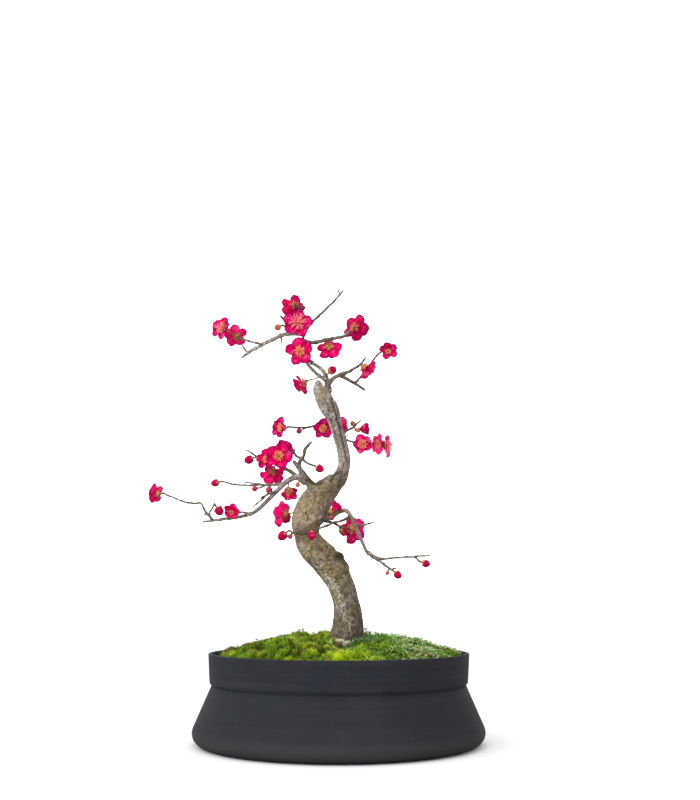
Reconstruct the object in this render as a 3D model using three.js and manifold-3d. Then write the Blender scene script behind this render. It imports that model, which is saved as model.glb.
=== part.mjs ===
// Flowering bonsai in a round stoneware pot: an old, crooked trunk with long thin
// twigs, crimson five-petalled blooms and buds, moss over the soil.
// Millimetres, +Z up, origin at the centre of the pot's flat underside.

import * as THREE from 'three';
import { mergeVertices } from 'three/addons/utils/BufferGeometryUtils.js';
import Module from 'manifold-3d';

// ---------------------------------------------------------------- driving dimensions

const CLEARANCE = 0.3;            // gap between two pieces that touch
const HOLE_GAP = 0.4;             // gap round the foot of the tree in the holes it stands in
const OVERCUT = 1;                // how far a cutter stands out of what it cuts

const POT = {
  baseRadius: 119,                // widest, just above the ground
  baseFillet: 10,
  filletSteps: [-90, -52, -15, 22], // degrees round the fillet, up to where the flare begins
  waistRadius: 104.4,
  waistHeight: 46.3,
  grooveDepth: 0.9,
  grooveLip: [0.2, 0.9],          // how far the flare's lip stands out and below the groove
  bandRadius: 106,                // upper band, just above the groove
  bandEase: [0.6, 1.8],           // how far its lower edge is set back, and above the groove
  bandRise: 5,
  rimRadius: 107.2,
  height: 71.8,
  rimWall: 3.4,
  rimRound: [0.8, 1],
  insideFoot: 110,                // radii of the inside at the floor, at its widest
  insideWide: 112,                // and at the waist
  insideWideRise: 6,
  insideWaist: 100.4,
  floor: 7,
  holes: 2,
  holeRadius: 7,
  holeCircle: 56,
  holeSides: 12,
  sides: 36,
};

const SCREEN = {
  radius: 13, thickness: 1.2, slots: 2, slotWidth: 3.4, slotGap: 3, rim: 3, arcSteps: 8,
};

const SOIL = { edgeHeight: 64.5, crownHeight: 77.5, edgeGap: 2.2, shoulder: 60, dome: 1.6 };

const MOSS = {
  edgeHeight: 70.6,
  crownHeight: 83,
  edgeGap: 2.4,
  dome: 1.5,
  rings: 10,
  sectors: 32,
  cushions: 42,                   // rounded cushions placed by a seeded draw
  cushionSpread: 0.92,            // share of the pot's radius that they are spread over
  cushionRadius: [10, 19],
  cushionHeight: [3, 7.5],
  settle: 1.5,                    // how far the mound lies below the cushions' bases
  edgeBand: 10,                   // width of the edge, where cushions are lower
  edgeShare: 0.35,
};

// Short stalks of grass and moss that stand out of the carpet.
const BLADE = {
  count: 13, zone: [22, 92.4], height: [4, 8], lean: 3, sink: 2.5, radius: 0.75, taper: 0.55, sides: 3,
};

const BARK = {
  sides: 12,
  rootSides: 5,
  lumpSides: 8,
  // Waves round the trunk: how many, how deep, and how far they turn at each station.
  waves: [{ count: 3, depth: 0.055, turn: 1.3 }, { count: 5, depth: 0.035, turn: -2.1 }],
};
// Sides of a limb by its first radius: the first entry whose radius is exceeded.
const LIMB_SIDES = [{ over: 2.5, sides: 7 }, { over: 1, sides: 5 }, { over: 0, sides: 4 }];

const PETALS = 5;
const PETAL = {
  thickness: 0.7,
  lift: 75,                       // degrees that the petals stand up at a cup of 1
  discRadius: 2.8,
  // Outline of one petal: share of its length, and degrees to the side of its middle.
  edge: [[0.64, -34.5], [0.94, -25], [1, 0], [0.94, 25], [0.64, 34.5]],
  dish: [0.6, 0, 0.07],           // lowest point inside the outline, and how deep
};
const DISC_TOP = CLEARANCE + PETAL.thickness;
const CLOSED_CUP = 0.7;           // blooms that cup more than this hide their stamens
const STALK = { radius: 0.65, sides: 5 };
const CALYX = {
  depth: 2.8,
  foot: 1.25,
  cup: 2.2,
  reach: 4.8,                     // longest sepal
  reachShare: 0.23,               // sepal on a small bloom, as a share of the bloom's width
  closedShare: 0.65,              // and how much of that on a closed one
};
const STAMEN = {
  count: 6,
  radius: 0.42,
  anther: 0.75,
  bossRadius: 1.5,
  bossHeight: 0.9,
  reach: 0.3,                     // length, as a share of the bloom's width
  vary: [0.85, 1.15],
  filament: 0.78,                 // share of the length that is filament
  lean: [24, 50],                 // degrees off the bloom's axis
  wander: 0.3,
  corners: [-150, -30, 90],       // degrees round a filament
};
// Loops of a bud and of the cup under it: radius and height, in radii of the bud.
const BUD = {
  sides: 6,
  twist: 0.22,
  ball: [[0.55, -0.8], [1, -0.1], [0.72, 0.68], [0.16, 1.06]],
  cup: [[0.42, -1.35], [0.85, -1], [1.12, -0.62], [0.97, -0.6], [0.64, -0.92]],
  scales: [[0.55, -0.9], [1, -0.2], [0.8, 0.5], [0.2, 1.1]],
};

// ---------------------------------------------------------------- colours

const paint = (color, roughness) => ({ color, roughness, metalness: 0 });
const COLOURS = {
  pot: paint(0x3a3d42, 0.72),
  screen: paint(0x2b2b2a, 0.6),
  soil: paint(0x4a3a2c, 0.95),
  moss: paint(0x6d7a2f, 0.95),
  tree: paint(0x7a7262, 0.9),
  petals: paint(0xc4145c, 0.6),
  stamens: paint(0xf0d9a0, 0.6),
  buds: paint(0xa80f4a, 0.55),
};

// ---------------------------------------------------------------- solids

const wasm = await Module();
wasm.setup();

const radians = THREE.MathUtils.degToRad;
const lerp = THREE.MathUtils.lerp;
const GOLDEN_ANGLE = Math.PI * (3 - Math.sqrt(5));
const SEED = { cushions: 20, blades: 7, stamens: 100 };

const vector = (triple) => new THREE.Vector3(...triple);

// Point at a radius and an angle round the Z axis.
const polar = (radius, angle, z = 0) => (
  new THREE.Vector3(radius * Math.cos(angle), radius * Math.sin(angle), z)
);

// A seeded draw between 0 and 1, the same on every run.
function draw(seed) {
  let state = seed;
  return () => {
    state = (state * 1664525 + 1013904223) % 4294967296;
    return state / 4294967296;
  };
}

// A closed three.js geometry as a solid; corners that coincide become one.
function solidOf(geometry) {
  const bare = geometry.clone();
  bare.deleteAttribute('normal');
  bare.deleteAttribute('uv');
  const merged = mergeVertices(bare, 1e-3);
  const corners = merged.index.array;
  const faces = [];
  for (let i = 0; i < corners.length; i += 3) {
    const [a, b, c] = corners.slice(i, i + 3);
    if (a !== b && b !== c && c !== a) faces.push(a, b, c);
  }
  return new wasm.Manifold(new wasm.Mesh({
    numProp: 3,
    vertProperties: new Float32Array(merged.attributes.position.array),
    triVerts: new Uint32Array(faces),
  }));
}

function geometryOf(solid) {
  const mesh = solid.getMesh();
  const geometry = new THREE.BufferGeometry();
  geometry.setAttribute('position', new THREE.BufferAttribute(mesh.vertProperties, 3));
  geometry.setIndex(new THREE.BufferAttribute(mesh.triVerts, 1));
  geometry.computeVertexNormals();
  return geometry;
}

const join = (solids) => solids.reduce((whole, solid) => whole.add(solid));

// The outer skin alone: a hollow that joining sealed is filled.
function filled(solid) {
  return solid.decompose().reduce((most, piece) => (piece.volume() > most.volume() ? piece : most));
}

function surface(points, faces) {
  const geometry = new THREE.BufferGeometry().setFromPoints(points);
  geometry.setIndex(faces);
  return geometry;
}

const middleOf = (corners) => (
  corners.reduce((sum, corner) => sum.addScaledVector(corner, 1 / corners.length), new THREE.Vector3())
);

const PLAIN_END = 8;              // most corners of an end that is closed without a middle point

// Skin over loops of corners, closed by a fan at each end. A loop may have twice the
// corners of the one before: every second corner then stands over a corner below.
function loft(loops) {
  const faces = [];
  const points = loops.flat();
  let low = 0;
  for (let i = 0; i < loops.length - 1; i += 1) {
    const n = loops[i].length;
    const high = low + n;
    for (let j = 0; j < n; j += 1) {
      const a = low + j;
      const b = low + ((j + 1) % n);
      if (loops[i + 1].length === n) {
        faces.push(a, b, b + n, a, b + n, a + n);
      } else {
        const [left, middle, right] = [2 * j, 2 * j + 1, (2 * j + 2) % (2 * n)].map((k) => high + k);
        faces.push(a, b, middle, b, right, middle, a, middle, left);
      }
    }
    low = high;
  }
  const first = loops[0].length;
  for (let j = 1; j < first - 1; j += 1) faces.push(0, j + 1, j);
  const last = points.length - low;
  if (last <= PLAIN_END) {
    for (let j = 1; j < last - 1; j += 1) faces.push(low, low + j, low + j + 1);
  } else {
    for (let j = 0; j < last; j += 1) faces.push(points.length, low + j, low + ((j + 1) % last));
    points.push(middleOf(loops.at(-1)));
  }
  return surface(points, faces);
}

// A flat-sided loop of corners round an axis at height z.
function loop(sides, radius, z, turn = 0) {
  return Array.from({ length: sides }, (_, j) => (
    polar(typeof radius === 'function' ? radius(j) : radius, turn + (2 * Math.PI * j) / sides, z)
  ));
}

// Round-sided limb through stations [x, y, z, radius], with an optional bark relief.
function limb(stations, sides, grow = 0, relief = () => 1) {
  const centres = stations.map(([x, y, z]) => new THREE.Vector3(x, y, z));
  let side = null;
  const loops = stations.map((station, i) => {
    const ahead = centres[Math.min(i + 1, centres.length - 1)];
    const along = ahead.clone().sub(centres[Math.max(i - 1, 0)]).normalize();
    side = side ?? (Math.abs(along.y) < 0.9 ? new THREE.Vector3(0, 1, 0) : new THREE.Vector3(1, 0, 0));
    side = side.clone().addScaledVector(along, -side.dot(along)).normalize();
    const across = along.clone().cross(side);
    const beyond = { 0: -grow, [stations.length - 1]: grow }[i] ?? 0;
    return Array.from({ length: sides }, (_, j) => {
      const angle = (2 * Math.PI * j) / sides;
      const radius = station[3] * relief(i, angle) + grow;
      return centres[i].clone()
        .addScaledVector(along, beyond)
        .addScaledVector(side, radius * Math.cos(angle))
        .addScaledVector(across, radius * Math.sin(angle));
    });
  });
  return solidOf(loft(loops));
}

function revolve(profile, sides) {
  const points = profile.map(([r, z]) => new THREE.Vector2(r, z));
  return new THREE.LatheGeometry(points, sides).rotateX(Math.PI / 2);
}

// ---------------------------------------------------------------- pot, screens, soil

const [rimEase, rimDrop] = POT.rimRound;
const potInside = [
  [POT.insideFoot, POT.floor],
  [POT.insideWide, POT.floor + POT.insideWideRise],
  [POT.insideWaist, POT.waistHeight],
  [POT.rimRadius - POT.rimWall, POT.height - rimDrop],
];

function potProfile() {
  const centre = POT.baseRadius - POT.baseFillet;
  const fillet = POT.filletSteps.map((degrees) => [
    centre + POT.baseFillet * Math.cos(radians(degrees)),
    POT.baseFillet + POT.baseFillet * Math.sin(radians(degrees)),
  ]);
  const [lipOut, lipDrop] = POT.grooveLip;
  const [bandSetBack, bandStart] = POT.bandEase;
  return [
    [0, 0],
    ...fillet,
    [POT.waistRadius + lipOut, POT.waistHeight - lipDrop],
    [POT.waistRadius - POT.grooveDepth, POT.waistHeight],
    [POT.bandRadius - bandSetBack, POT.waistHeight + bandStart],
    [POT.bandRadius, POT.waistHeight + POT.bandRise],
    [POT.rimRadius, POT.height - rimDrop],
    [POT.rimRadius - rimEase, POT.height],
    [POT.rimRadius - POT.rimWall + rimEase, POT.height],
    ...[...potInside].reverse(),
    [0, POT.floor],
  ];
}

const holePlaces = loop(POT.holes, POT.holeCircle, 0);

// Upright prism round each drain hole, from one height to another.
const atHoles = (radius, low, high) => holePlaces.map(({ x, y }) => {
  const ends = [low, high].map((z) => loop(POT.holeSides, radius, z));
  return solidOf(loft(ends).translate(x, y, 0));
});

function makePot() {
  const drains = atHoles(POT.holeRadius, -OVERCUT, POT.floor + OVERCUT);
  return drains.reduce(
    (pot, drain) => pot.subtract(drain),
    solidOf(revolve(potProfile(), POT.sides)),
  );
}

// Slotted disc that keeps the soil out of a drain hole.
function makeScreen() {
  const disc = new THREE.Shape().absarc(0, 0, SCREEN.radius, 0, 2 * Math.PI);
  const pitch = SCREEN.slotWidth + SCREEN.slotGap;
  for (let i = 0; i < SCREEN.slots; i += 1) {
    const middle = (i - (SCREEN.slots - 1) / 2) * pitch;
    const half = SCREEN.slotWidth / 2;
    const reach = Math.sqrt(SCREEN.radius ** 2 - (Math.abs(middle) + half) ** 2) - SCREEN.rim;
    const slot = new THREE.Path();
    slot.moveTo(-reach, middle - half).lineTo(reach, middle - half);
    slot.lineTo(reach, middle + half).lineTo(-reach, middle + half).closePath();
    disc.holes.push(slot);
  }
  return new THREE.ExtrudeGeometry(disc, {
    depth: SCREEN.thickness, bevelEnabled: false, curveSegments: SCREEN.arcSteps,
  });
}

const soilTop = (r) => (
  lerp(SOIL.crownHeight, SOIL.edgeHeight, (r / POT.waistRadius) ** SOIL.dome)
);

// Soil that fills the pot to its waist and mounds above it, with room over each screen.
function makeSoil(foot) {
  const wall = potInside.slice(0, -1).map(([r, z]) => [r - CLEARANCE, z]);
  wall[0][1] += CLEARANCE;
  const top = [POT.waistRadius - SOIL.edgeGap, SOIL.shoulder].map((r) => [r, soilTop(r)]);
  const profile = [[0, POT.floor + CLEARANCE], ...wall, ...top, [0, soilTop(0)]];
  const seat = (SCREEN.radius + 2 * CLEARANCE) / Math.cos(Math.PI / POT.holeSides);
  const seats = atHoles(seat, 0, POT.floor + SCREEN.thickness + 2 * CLEARANCE);
  return [...seats, foot].reduce(
    (soil, cutter) => soil.subtract(cutter),
    solidOf(revolve(profile, POT.sides)),
  );
}

// ---------------------------------------------------------------- tree

// Trunk from the root stock up to the stub where its top was cut: [x, y, z, radius].
const TRUNK = [
  [7, 0, 44, 6], [6.5, 0, 57, 15.5], [5.8, 0, 70, 17.6], [5.6, 0, 77, 16.8],
  [6, 0, 83, 15], [6.8, 0, 91.5, 13.2], [7, 1, 103, 11.9], [5.5, 3, 114.5, 10.9],
  [1.6, 5, 126.5, 10.7], [-5.2, 6, 138.5, 11.4], [-14, 6, 149.5, 11.8], [-22.5, 4, 159, 11],
  [-27, 1, 168, 10.8], [-27.8, -2, 178, 12.6], [-23.6, -4, 188, 14.4], [-18, -4, 197.5, 13.6],
  [-11.8, -2, 205, 11], [-5.8, 0, 210.5, 8.6], [-0.3, 3, 216, 6.7], [3.1, 5, 223.5, 5.3],
  [4.2, 6, 232, 5.1], [3.4, 6, 240, 5.3], [1.1, 5, 249.5, 5.3], [-1.9, 3, 258, 5.2],
  [-4.6, 0, 266.5, 5.8], [-7.6, -2, 274, 7], [-11.5, -4, 281, 7.5], [-15, -5, 287.5, 6.6],
  [-17.6, -6, 293.5, 5], [-18.2, -6, 297.5, 3],
];
const FOOT_STATIONS = 7;

// Roots that run down into the soil.
const ROOTS = [
  [[6, 0, 72, 9], [-14, -6, 66, 5], [-34, -12, 54, 2.6], [-48, -14, 44, 1.4]],
  [[6, 0, 72, 9], [-2, 18, 66, 5], [-12, 38, 52, 2.6], [-16, 50, 42, 1.4]],
  [[6, 0, 72, 9], [24, -8, 66, 5], [42, -20, 54, 2.6], [52, -26, 44, 1.4]],
];

// Branches and twigs, each starting inside what it grows from.
const LIMBS = {
  leader: [[-11, -3, 281.5, 3.6], [-11, -1, 291.5, 2.7], [-10.5, 1, 300, 2.4]],
  crownUp: [[-10.5, 1, 298, 2.3], [-12, 2, 306, 2], [-17, 4, 313, 1.7], [-24, 6, 318, 1.5],
    [-30, 8, 323.5, 1.4], [-33, 11, 335, 1.3], [-31, 13, 346, 1.3],
    [-27, 14, 354, 1.2], [-20, 15, 361.5, 1.1], [-11.5, 16, 370, 1], [-4.5, 17, 377.5, 0.9],
    [0.5, 17, 383.5, 0.8]],
  crownTipLeft: [[0, 17, 382.5, 0.8], [-1.5, 18, 388, 0.6]],
  crownTipRight: [[0, 17, 382.5, 0.8], [3, 16, 387, 0.6]],
  crownTwin: [[-11.5, 1, 301.5, 1.7], [-19, 0, 306.5, 1.4], [-25, -1, 312, 1.3],
    [-29, 3, 318.5, 1.2], [-31.5, 8, 325.5, 1.1]],
  crownRight: [[-33, 12, 339, 1.5], [-23, 9, 337, 1.6], [-9.5, 5, 339, 1.5],
    [-2.5, 4, 340, 1.4], [4.5, 3, 341.5, 1.3], [8.5, 3, 345.5, 1]],
  crownLeft: [[-31.5, 13, 346, 1.5], [-49, 9, 344, 1.6], [-60, 5, 338, 1.5],
    [-69.5, 2, 332, 1.4], [-78.5, -1, 326, 1.2], [-84.5, -3, 321, 1]],
  crownLeftUpper: [[-67, 2, 333.5, 0.9], [-76.5, 0, 335.5, 0.8], [-87.5, -4, 338, 0.7]],
  crownLeftLower: [[-79.5, -1, 325.5, 0.9], [-82.5, -2, 328.5, 0.8], [-84.5, -4, 332, 0.7]],
  crownBudTwig: [[-42, 12, 345.5, 0.9], [-47, 10, 351, 0.8], [-50.5, 8, 352.5, 0.7]],
  crownStub: [[-46.5, 10, 350, 0.9], [-49, 9, 357, 1], [-52, 8, 360.5, 0.9]],
  crownTop: [[-29, 14, 349.5, 1], [-32, 15, 360, 0.9], [-35, 14, 367, 0.8], [-37.5, 10, 369.5, 0.8]],
  crownTopSpur: [[-34, 14, 365, 0.8], [-33.5, 13, 373.5, 0.5]],
  right: [[-10, 1, 297, 2.3], [-5, 1, 303.5, 2], [0.5, 0, 306, 1.8], [8.5, -3, 308.5, 1.3],
    [15, -5, 312, 1], [19.5, -6, 315.5, 0.8], [23, -7, 320.5, 0.6]],
  rightLower: [[0.5, 0, 305.5, 1.7], [7.5, 1, 302, 1.6], [13.5, 3, 299, 1.5], [21.5, 5, 294, 1.3]],
  rightLong: [[13, 3, 299, 1.1], [17, 6, 304, 0.9], [23, 10, 313, 0.8], [29.5, 12, 321.5, 0.8],
    [35.5, 12, 328.5, 0.8], [40.5, 11, 330, 0.7]],
  topHook: [[-10.5, -1, 287.5, 0.9], [-7.5, -2, 291, 0.8], [-7.5, -3, 295, 0.7]],
  backLeft: [[-2, 7, 260, 1.2], [-8.5, 17, 264, 1], [-15.5, 20, 265, 1], [-33, 21, 263, 0.8],
    [-41.5, 18, 263, 0.8], [-45, 15, 263, 0.7]],
  backRight: [[0.5, 7, 253.5, 1.1], [5, 10, 257.5, 0.9], [9, 12, 260, 0.8], [13, 12, 262.5, 0.8],
    [15, 12, 265, 0.7], [19, 12, 268, 0.5]],
  midRight: [[2, 7, 249, 1.1], [6, 10, 250.5, 0.9], [12.5, 11, 248.5, 0.8], [19.5, 12, 247, 0.8],
    [27, 14, 247.5, 0.8], [34.5, 17.6, 246.5, 0.7]],
  bough: [[-19, -2, 203.5, 6], [-23.5, -3, 209.5, 4.1], [-27.5, -3, 214.5, 3.3],
    [-31.5, -3, 220.5, 2.7], [-35, -3, 226, 2.2], [-38.5, -3, 230, 1.7]],
  lichenTwig: [[-34.5, -3, 224.5, 1.6], [-33, -4, 231, 1.4], [-30.5, -5, 234.5, 1.2],
    [-29.5, -5, 240, 1.4], [-26.5, -6, 244, 1.2], [-24, -6, 246.5, 0.9]],
  boughTwigRight: [[-32, -4, 232.5, 1], [-27.5, -6, 229, 0.9], [-19.5, -9, 225, 0.7]],
  boughTwigLeft: [[-31.5, -4, 233, 1], [-36.5, -2, 235, 0.9], [-39.5, 1, 238.5, 0.9],
    [-43, -1, 238.5, 0.7]],
  cluster: [[-30.5, -4, 214.5, 2.6], [-36, -4, 217.5, 2.1], [-41, -3, 221.5, 1.8],
    [-46.5, -1, 224.5, 1.6], [-53.5, 2, 229, 1.4], [-59.5, 4, 233, 1.2], [-71, 5, 235.5, 0.9],
    [-75, 4, 238, 0.8], [-80, 4, 240.5, 0.6]],
  left: [[-28.5, -4, 212, 3.2], [-35.5, -6, 216.5, 2.6], [-43, -8, 213.5, 2.4],
    [-49, -10, 208, 2.2], [-54, -12, 202.5, 2.1], [-61, -14, 195, 2], [-67.5, -16, 188.5, 1.8],
    [-72.5, -17, 185, 1.6], [-81, -19, 182.5, 1.3], [-94, -21, 180.5, 1.2],
    [-104.5, -22, 179, 1], [-111.5, -23, 178, 0.8]],
  leftLevel: [[-45, -9, 211.5, 1.4], [-55.5, -6, 210, 1.1], [-65.5, -3, 210.5, 0.9],
    [-84.5, 1, 210.5, 0.8], [-92, 2, 211.5, 0.8], [-99.5, 3, 213.5, 0.7], [-102.5, 3, 213.5, 0.7]],
  leftLevelSpur: [[-64.5, -3, 210.5, 0.8], [-79.5, -7, 212, 0.5]],
  leftBudTwig: [[-60, -5, 210, 0.8], [-65, -8, 208, 0.7], [-68.5, -9, 207, 0.7]],
  leftThin: [[-53.5, -13, 203, 1], [-59, -17, 201.5, 0.8], [-64, -19, 196.5, 0.7],
    [-71.5, -20, 190.5, 0.5]],
  leftFlowerTwig: [[-73.5, -17, 184.5, 0.9], [-79.5, -13.5, 186.5, 0.8], [-83.4, -11.5, 186.5, 0.7]],
  leftTipFork: [[-104.5, -22, 179, 0.9], [-107, -22, 185, 0.8], [-104.5, -22, 189.5, 0.7],
    [-103, -22, 193, 0.6]],
  leftLong: [[-106, -22, 181.5, 0.9], [-110, -23, 186.5, 0.9], [-114.5, -24, 193, 0.8],
    [-119, -24, 193, 0.8], [-127.5, -23, 194, 0.8], [-133.5, -22, 196.5, 0.7],
    [-141, -20, 199.5, 0.7], [-146, -18, 202, 0.7]],
  lowRight: [[-11, -4, 183, 4], [-4, -11, 185, 2.7], [1.5, -15, 187.5, 2.3], [6, -17, 187.5, 2.2],
    [9, -18, 184, 2.2], [12, -18, 178, 2], [15.5, -18, 169.5, 1.9], [19.5, -18, 161, 1.8],
    [23.5, -18, 153, 1.6], [29, -18, 149.5, 1.5], [34.5, -18, 148, 1.1], [42, -17, 148.5, 0.9],
    [63.5, -13, 150, 0.8], [75, -11, 151, 0.6]],
  lowRightSpur: [[63, -13, 149.5, 0.8], [66.5, -13, 146, 0.7], [68.5, -13, 145, 0.7]],
  lowRightLower: [[28, -18, 150, 1.4], [33.5, -20, 146, 1.2], [38, -22, 142.5, 1.1],
    [42, -23, 139.5, 0.9], [45, -24, 137.5, 0.8]],
  lowRightBudTwig: [[41.5, -23, 140, 0.7], [40, -24, 138, 0.6]],
  lowRightSide: [[13, -18, 175, 1], [20, -16, 175.5, 0.8], [29.5, -14, 178.5, 0.5]],
  across: [[9.5, -18, 182.5, 1.2], [5, -20, 180, 1], [-3.5, -21, 177.5, 0.9],
    [-14, -21, 173.5, 0.9], [-30, -18, 170.5, 0.8], [-39.5, -13, 169, 0.7]],
  acrossBudTwig: [[-38, -14, 169, 0.7], [-42, -13, 171, 0.7], [-43.5, -13, 170, 0.7]],
  lowBack: [[-20.5, 2, 181, 1.5], [-12, 4, 180, 1.1], [-5.5, 7, 179, 0.9], [-0.5, 8, 176.5, 0.9],
    [2.5, 7, 175, 0.8]],
};

// Healed stub of a branch cut off long ago, with its hollow.
const OLD_CUT = {
  stub: [[-9, 3, 147, 5.6], [-3, 0, 149.5, 5.8], [0.5, -2, 150.5, 4.8]],
  hollow: [[-3, 0, 149.5, 1.2], [1.5, -2.6, 151, 3.2]],
};
const SHOULDER = [[-14, -2, 203, 6.5], [-11.5, -2, 210, 5.8], [-7, -1, 215.5, 4.2]];

const limbSides = ([[, , , radius]]) => LIMB_SIDES.find(({ over }) => radius > over).sides;

const barkRelief = (i, angle) => BARK.waves.reduce(
  (relief, { count, depth, turn }) => relief + depth * Math.sin(count * angle + turn * i),
  1,
);

const makeRoots = (grow) => ROOTS.map((stations) => limb(stations, BARK.rootSides, grow));

// Trunk foot and roots, grown by a gap: the plain holes that they stand in.
function makeFoot(grow) {
  const foot = limb(TRUNK.slice(0, FOOT_STATIONS), BARK.sides, grow, barkRelief);
  return join([foot, ...makeRoots(grow)]);
}

// ---------------------------------------------------------------- blooms and buds

// Blooms: where the calyx opens, the way the face looks, the width over the petals, how far
// the petals cup, their turn in degrees, and the point on the twig where the stalk begins.
// Where facesAway is set the stamens are one solid with the petals.
const BLOOMS = [
  { id: 1, at: [-100, -8, 344.5], faces: [-0.55, -0.8, 0.15], across: 21, cup: 0.25, turn: 0,
    from: [-87, -4, 338] },
  { id: 2, at: [-90, 2, 340.5], faces: [-0.35, 0.8, 0.45], across: 20.5, cup: 0.25, turn: 10,
    from: [-85, -3, 336.8], facesAway: true },
  { id: 3, at: [-40.5, 12.5, 372], faces: [-0.35, 0.9, -0.2], across: 23, cup: 0.2, turn: 40,
    from: [-37.5, 10, 369.5], facesAway: true },
  { id: 4, at: [-36.5, 0, 351.5], faces: [-0.05, -0.98, 0.1], across: 25.5, cup: 0.1, turn: 10,
    from: [-32, 14, 358.5] },
  { id: 5, at: [-34.5, -1, 326], faces: [0, -1, 0.05], across: 24, cup: 0.12, turn: 27,
    from: [-33, 10, 331.5] },
  { id: 6, at: [-9.5, 8, 333.5], faces: [0, 0.85, -0.5], across: 22.5, cup: 0.2, turn: 18,
    from: [-9.5, 5, 338.5], facesAway: true },
  { id: 7, at: [13, 7, 350.5], faces: [0.3, 0.93, -0.05], across: 24.5, cup: 0.2, turn: 50,
    from: [8.5, 3, 345], facesAway: true },
  { id: 8, at: [42, 5, 327], faces: [0.1, -0.95, 0.15], across: 15.5, cup: 0.45, turn: 30,
    from: [40, 11, 329.8] },
  { id: 9, at: [20.5, -4.5, 312.5], faces: [0.7, 0.5, -0.5], across: 20, cup: 0.35, turn: 36,
    from: [15, -5, 312] },
  { id: 10, at: [-30.5, 2, 300], faces: [-0.75, 0.5, -0.35], across: 18, cup: 0.35, turn: 30,
    from: [-16.3, 0.7, 304.8] },
  { id: 11, at: [-49, 11, 261], faces: [-0.7, -0.68, 0.05], across: 18.5, cup: 0.3, turn: 0,
    from: [-44.5, 15.3, 263] },
  { id: 12, at: [-13.5, 13, 260], faces: [-0.25, -0.9, 0.2], across: 19.5, cup: 0.15, turn: 20,
    from: [-13, 19, 264.7] },
  { id: 13, at: [-2.5, 22, 265], faces: [0.45, 0.88, 0.1], across: 20, cup: 0.15, turn: 0,
    from: [-1, 7, 257], facesAway: true },
  { id: 14, at: [17, 10, 261.5], faces: [0.85, -0.15, 0.2], across: 10.5, cup: 0.8, turn: 0,
    from: [13, 12, 262.5] },
  { id: 15, at: [20.5, 5, 246], faces: [-0.25, -0.95, 0], across: 17.5, cup: 0.2, turn: 36,
    from: [19.5, 12, 247] },
  { id: 16, at: [29.6, 7, 246.5], faces: [0.84, -0.5, -0.1], across: 19.5, cup: 0.25, turn: 0,
    from: [27, 14, 247.5] },
  { id: 17, at: [41, 15, 246], faces: [0.97, -0.2, 0], across: 20, cup: 0.15, turn: 0,
    from: [34, 17.3, 246.5] },
  { id: 18, at: [-51.5, -7, 234], faces: [0.08, -0.97, 0.1], across: 23.5, cup: 0.12, turn: 0,
    from: [-50, 0.3, 226.8] },
  { id: 19, at: [-62, -0.5, 232], faces: [-0.35, -0.9, 0.1], across: 18, cup: 0.15, turn: 30,
    from: [-62, 4.2, 233.5] },
  { id: 20, at: [-57.5, 3, 222.5], faces: [-0.05, 0.8, -0.6], across: 21.5, cup: 0.25, turn: 0,
    from: [-53.5, 1.5, 228.8], facesAway: true },
  { id: 21, at: [-42.5, -5, 205.5], faces: [0.05, 0.85, -0.45], across: 15, cup: 0.4, turn: 0,
    from: [-43, -8.5, 213] },
  { id: 22, at: [-45.5, -8.5, 185.5], faces: [-0.75, 0.6, 0.1], across: 21.5, cup: 0.2, turn: 0,
    from: [-33.5, -7, 188] },
  { id: 23, at: [-87.2, -19.5, 186.5], faces: [0.15, -0.97, 0.1], across: 15.5, cup: 0.45, turn: 0,
    from: [-83, -12, 186.5] },
  { id: 24, at: [-151, -17, 201.5], faces: [-0.8, 0.55, 0.15], across: 17, cup: 0.2, turn: 0,
    from: [-145.6, -18, 202] },
  { id: 25, at: [-5, -16.5, 189.5], faces: [0.72, -0.35, 0.6], across: 11.5, cup: 0.75, turn: 0,
    from: [-7.5, -8, 184.5] },
  { id: 26, at: [10, 11, 174], faces: [0.35, 0.93, -0.1], across: 24, cup: 0.15, turn: 0,
    from: [2.2, 7, 175], facesAway: true },
  { id: 27, at: [-48, 4, 241], faces: [0.45, 0.75, 0.45], across: 18, cup: 0.2, turn: 0,
    from: [-42, -0.4, 238.5], facesAway: true },
];

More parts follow.
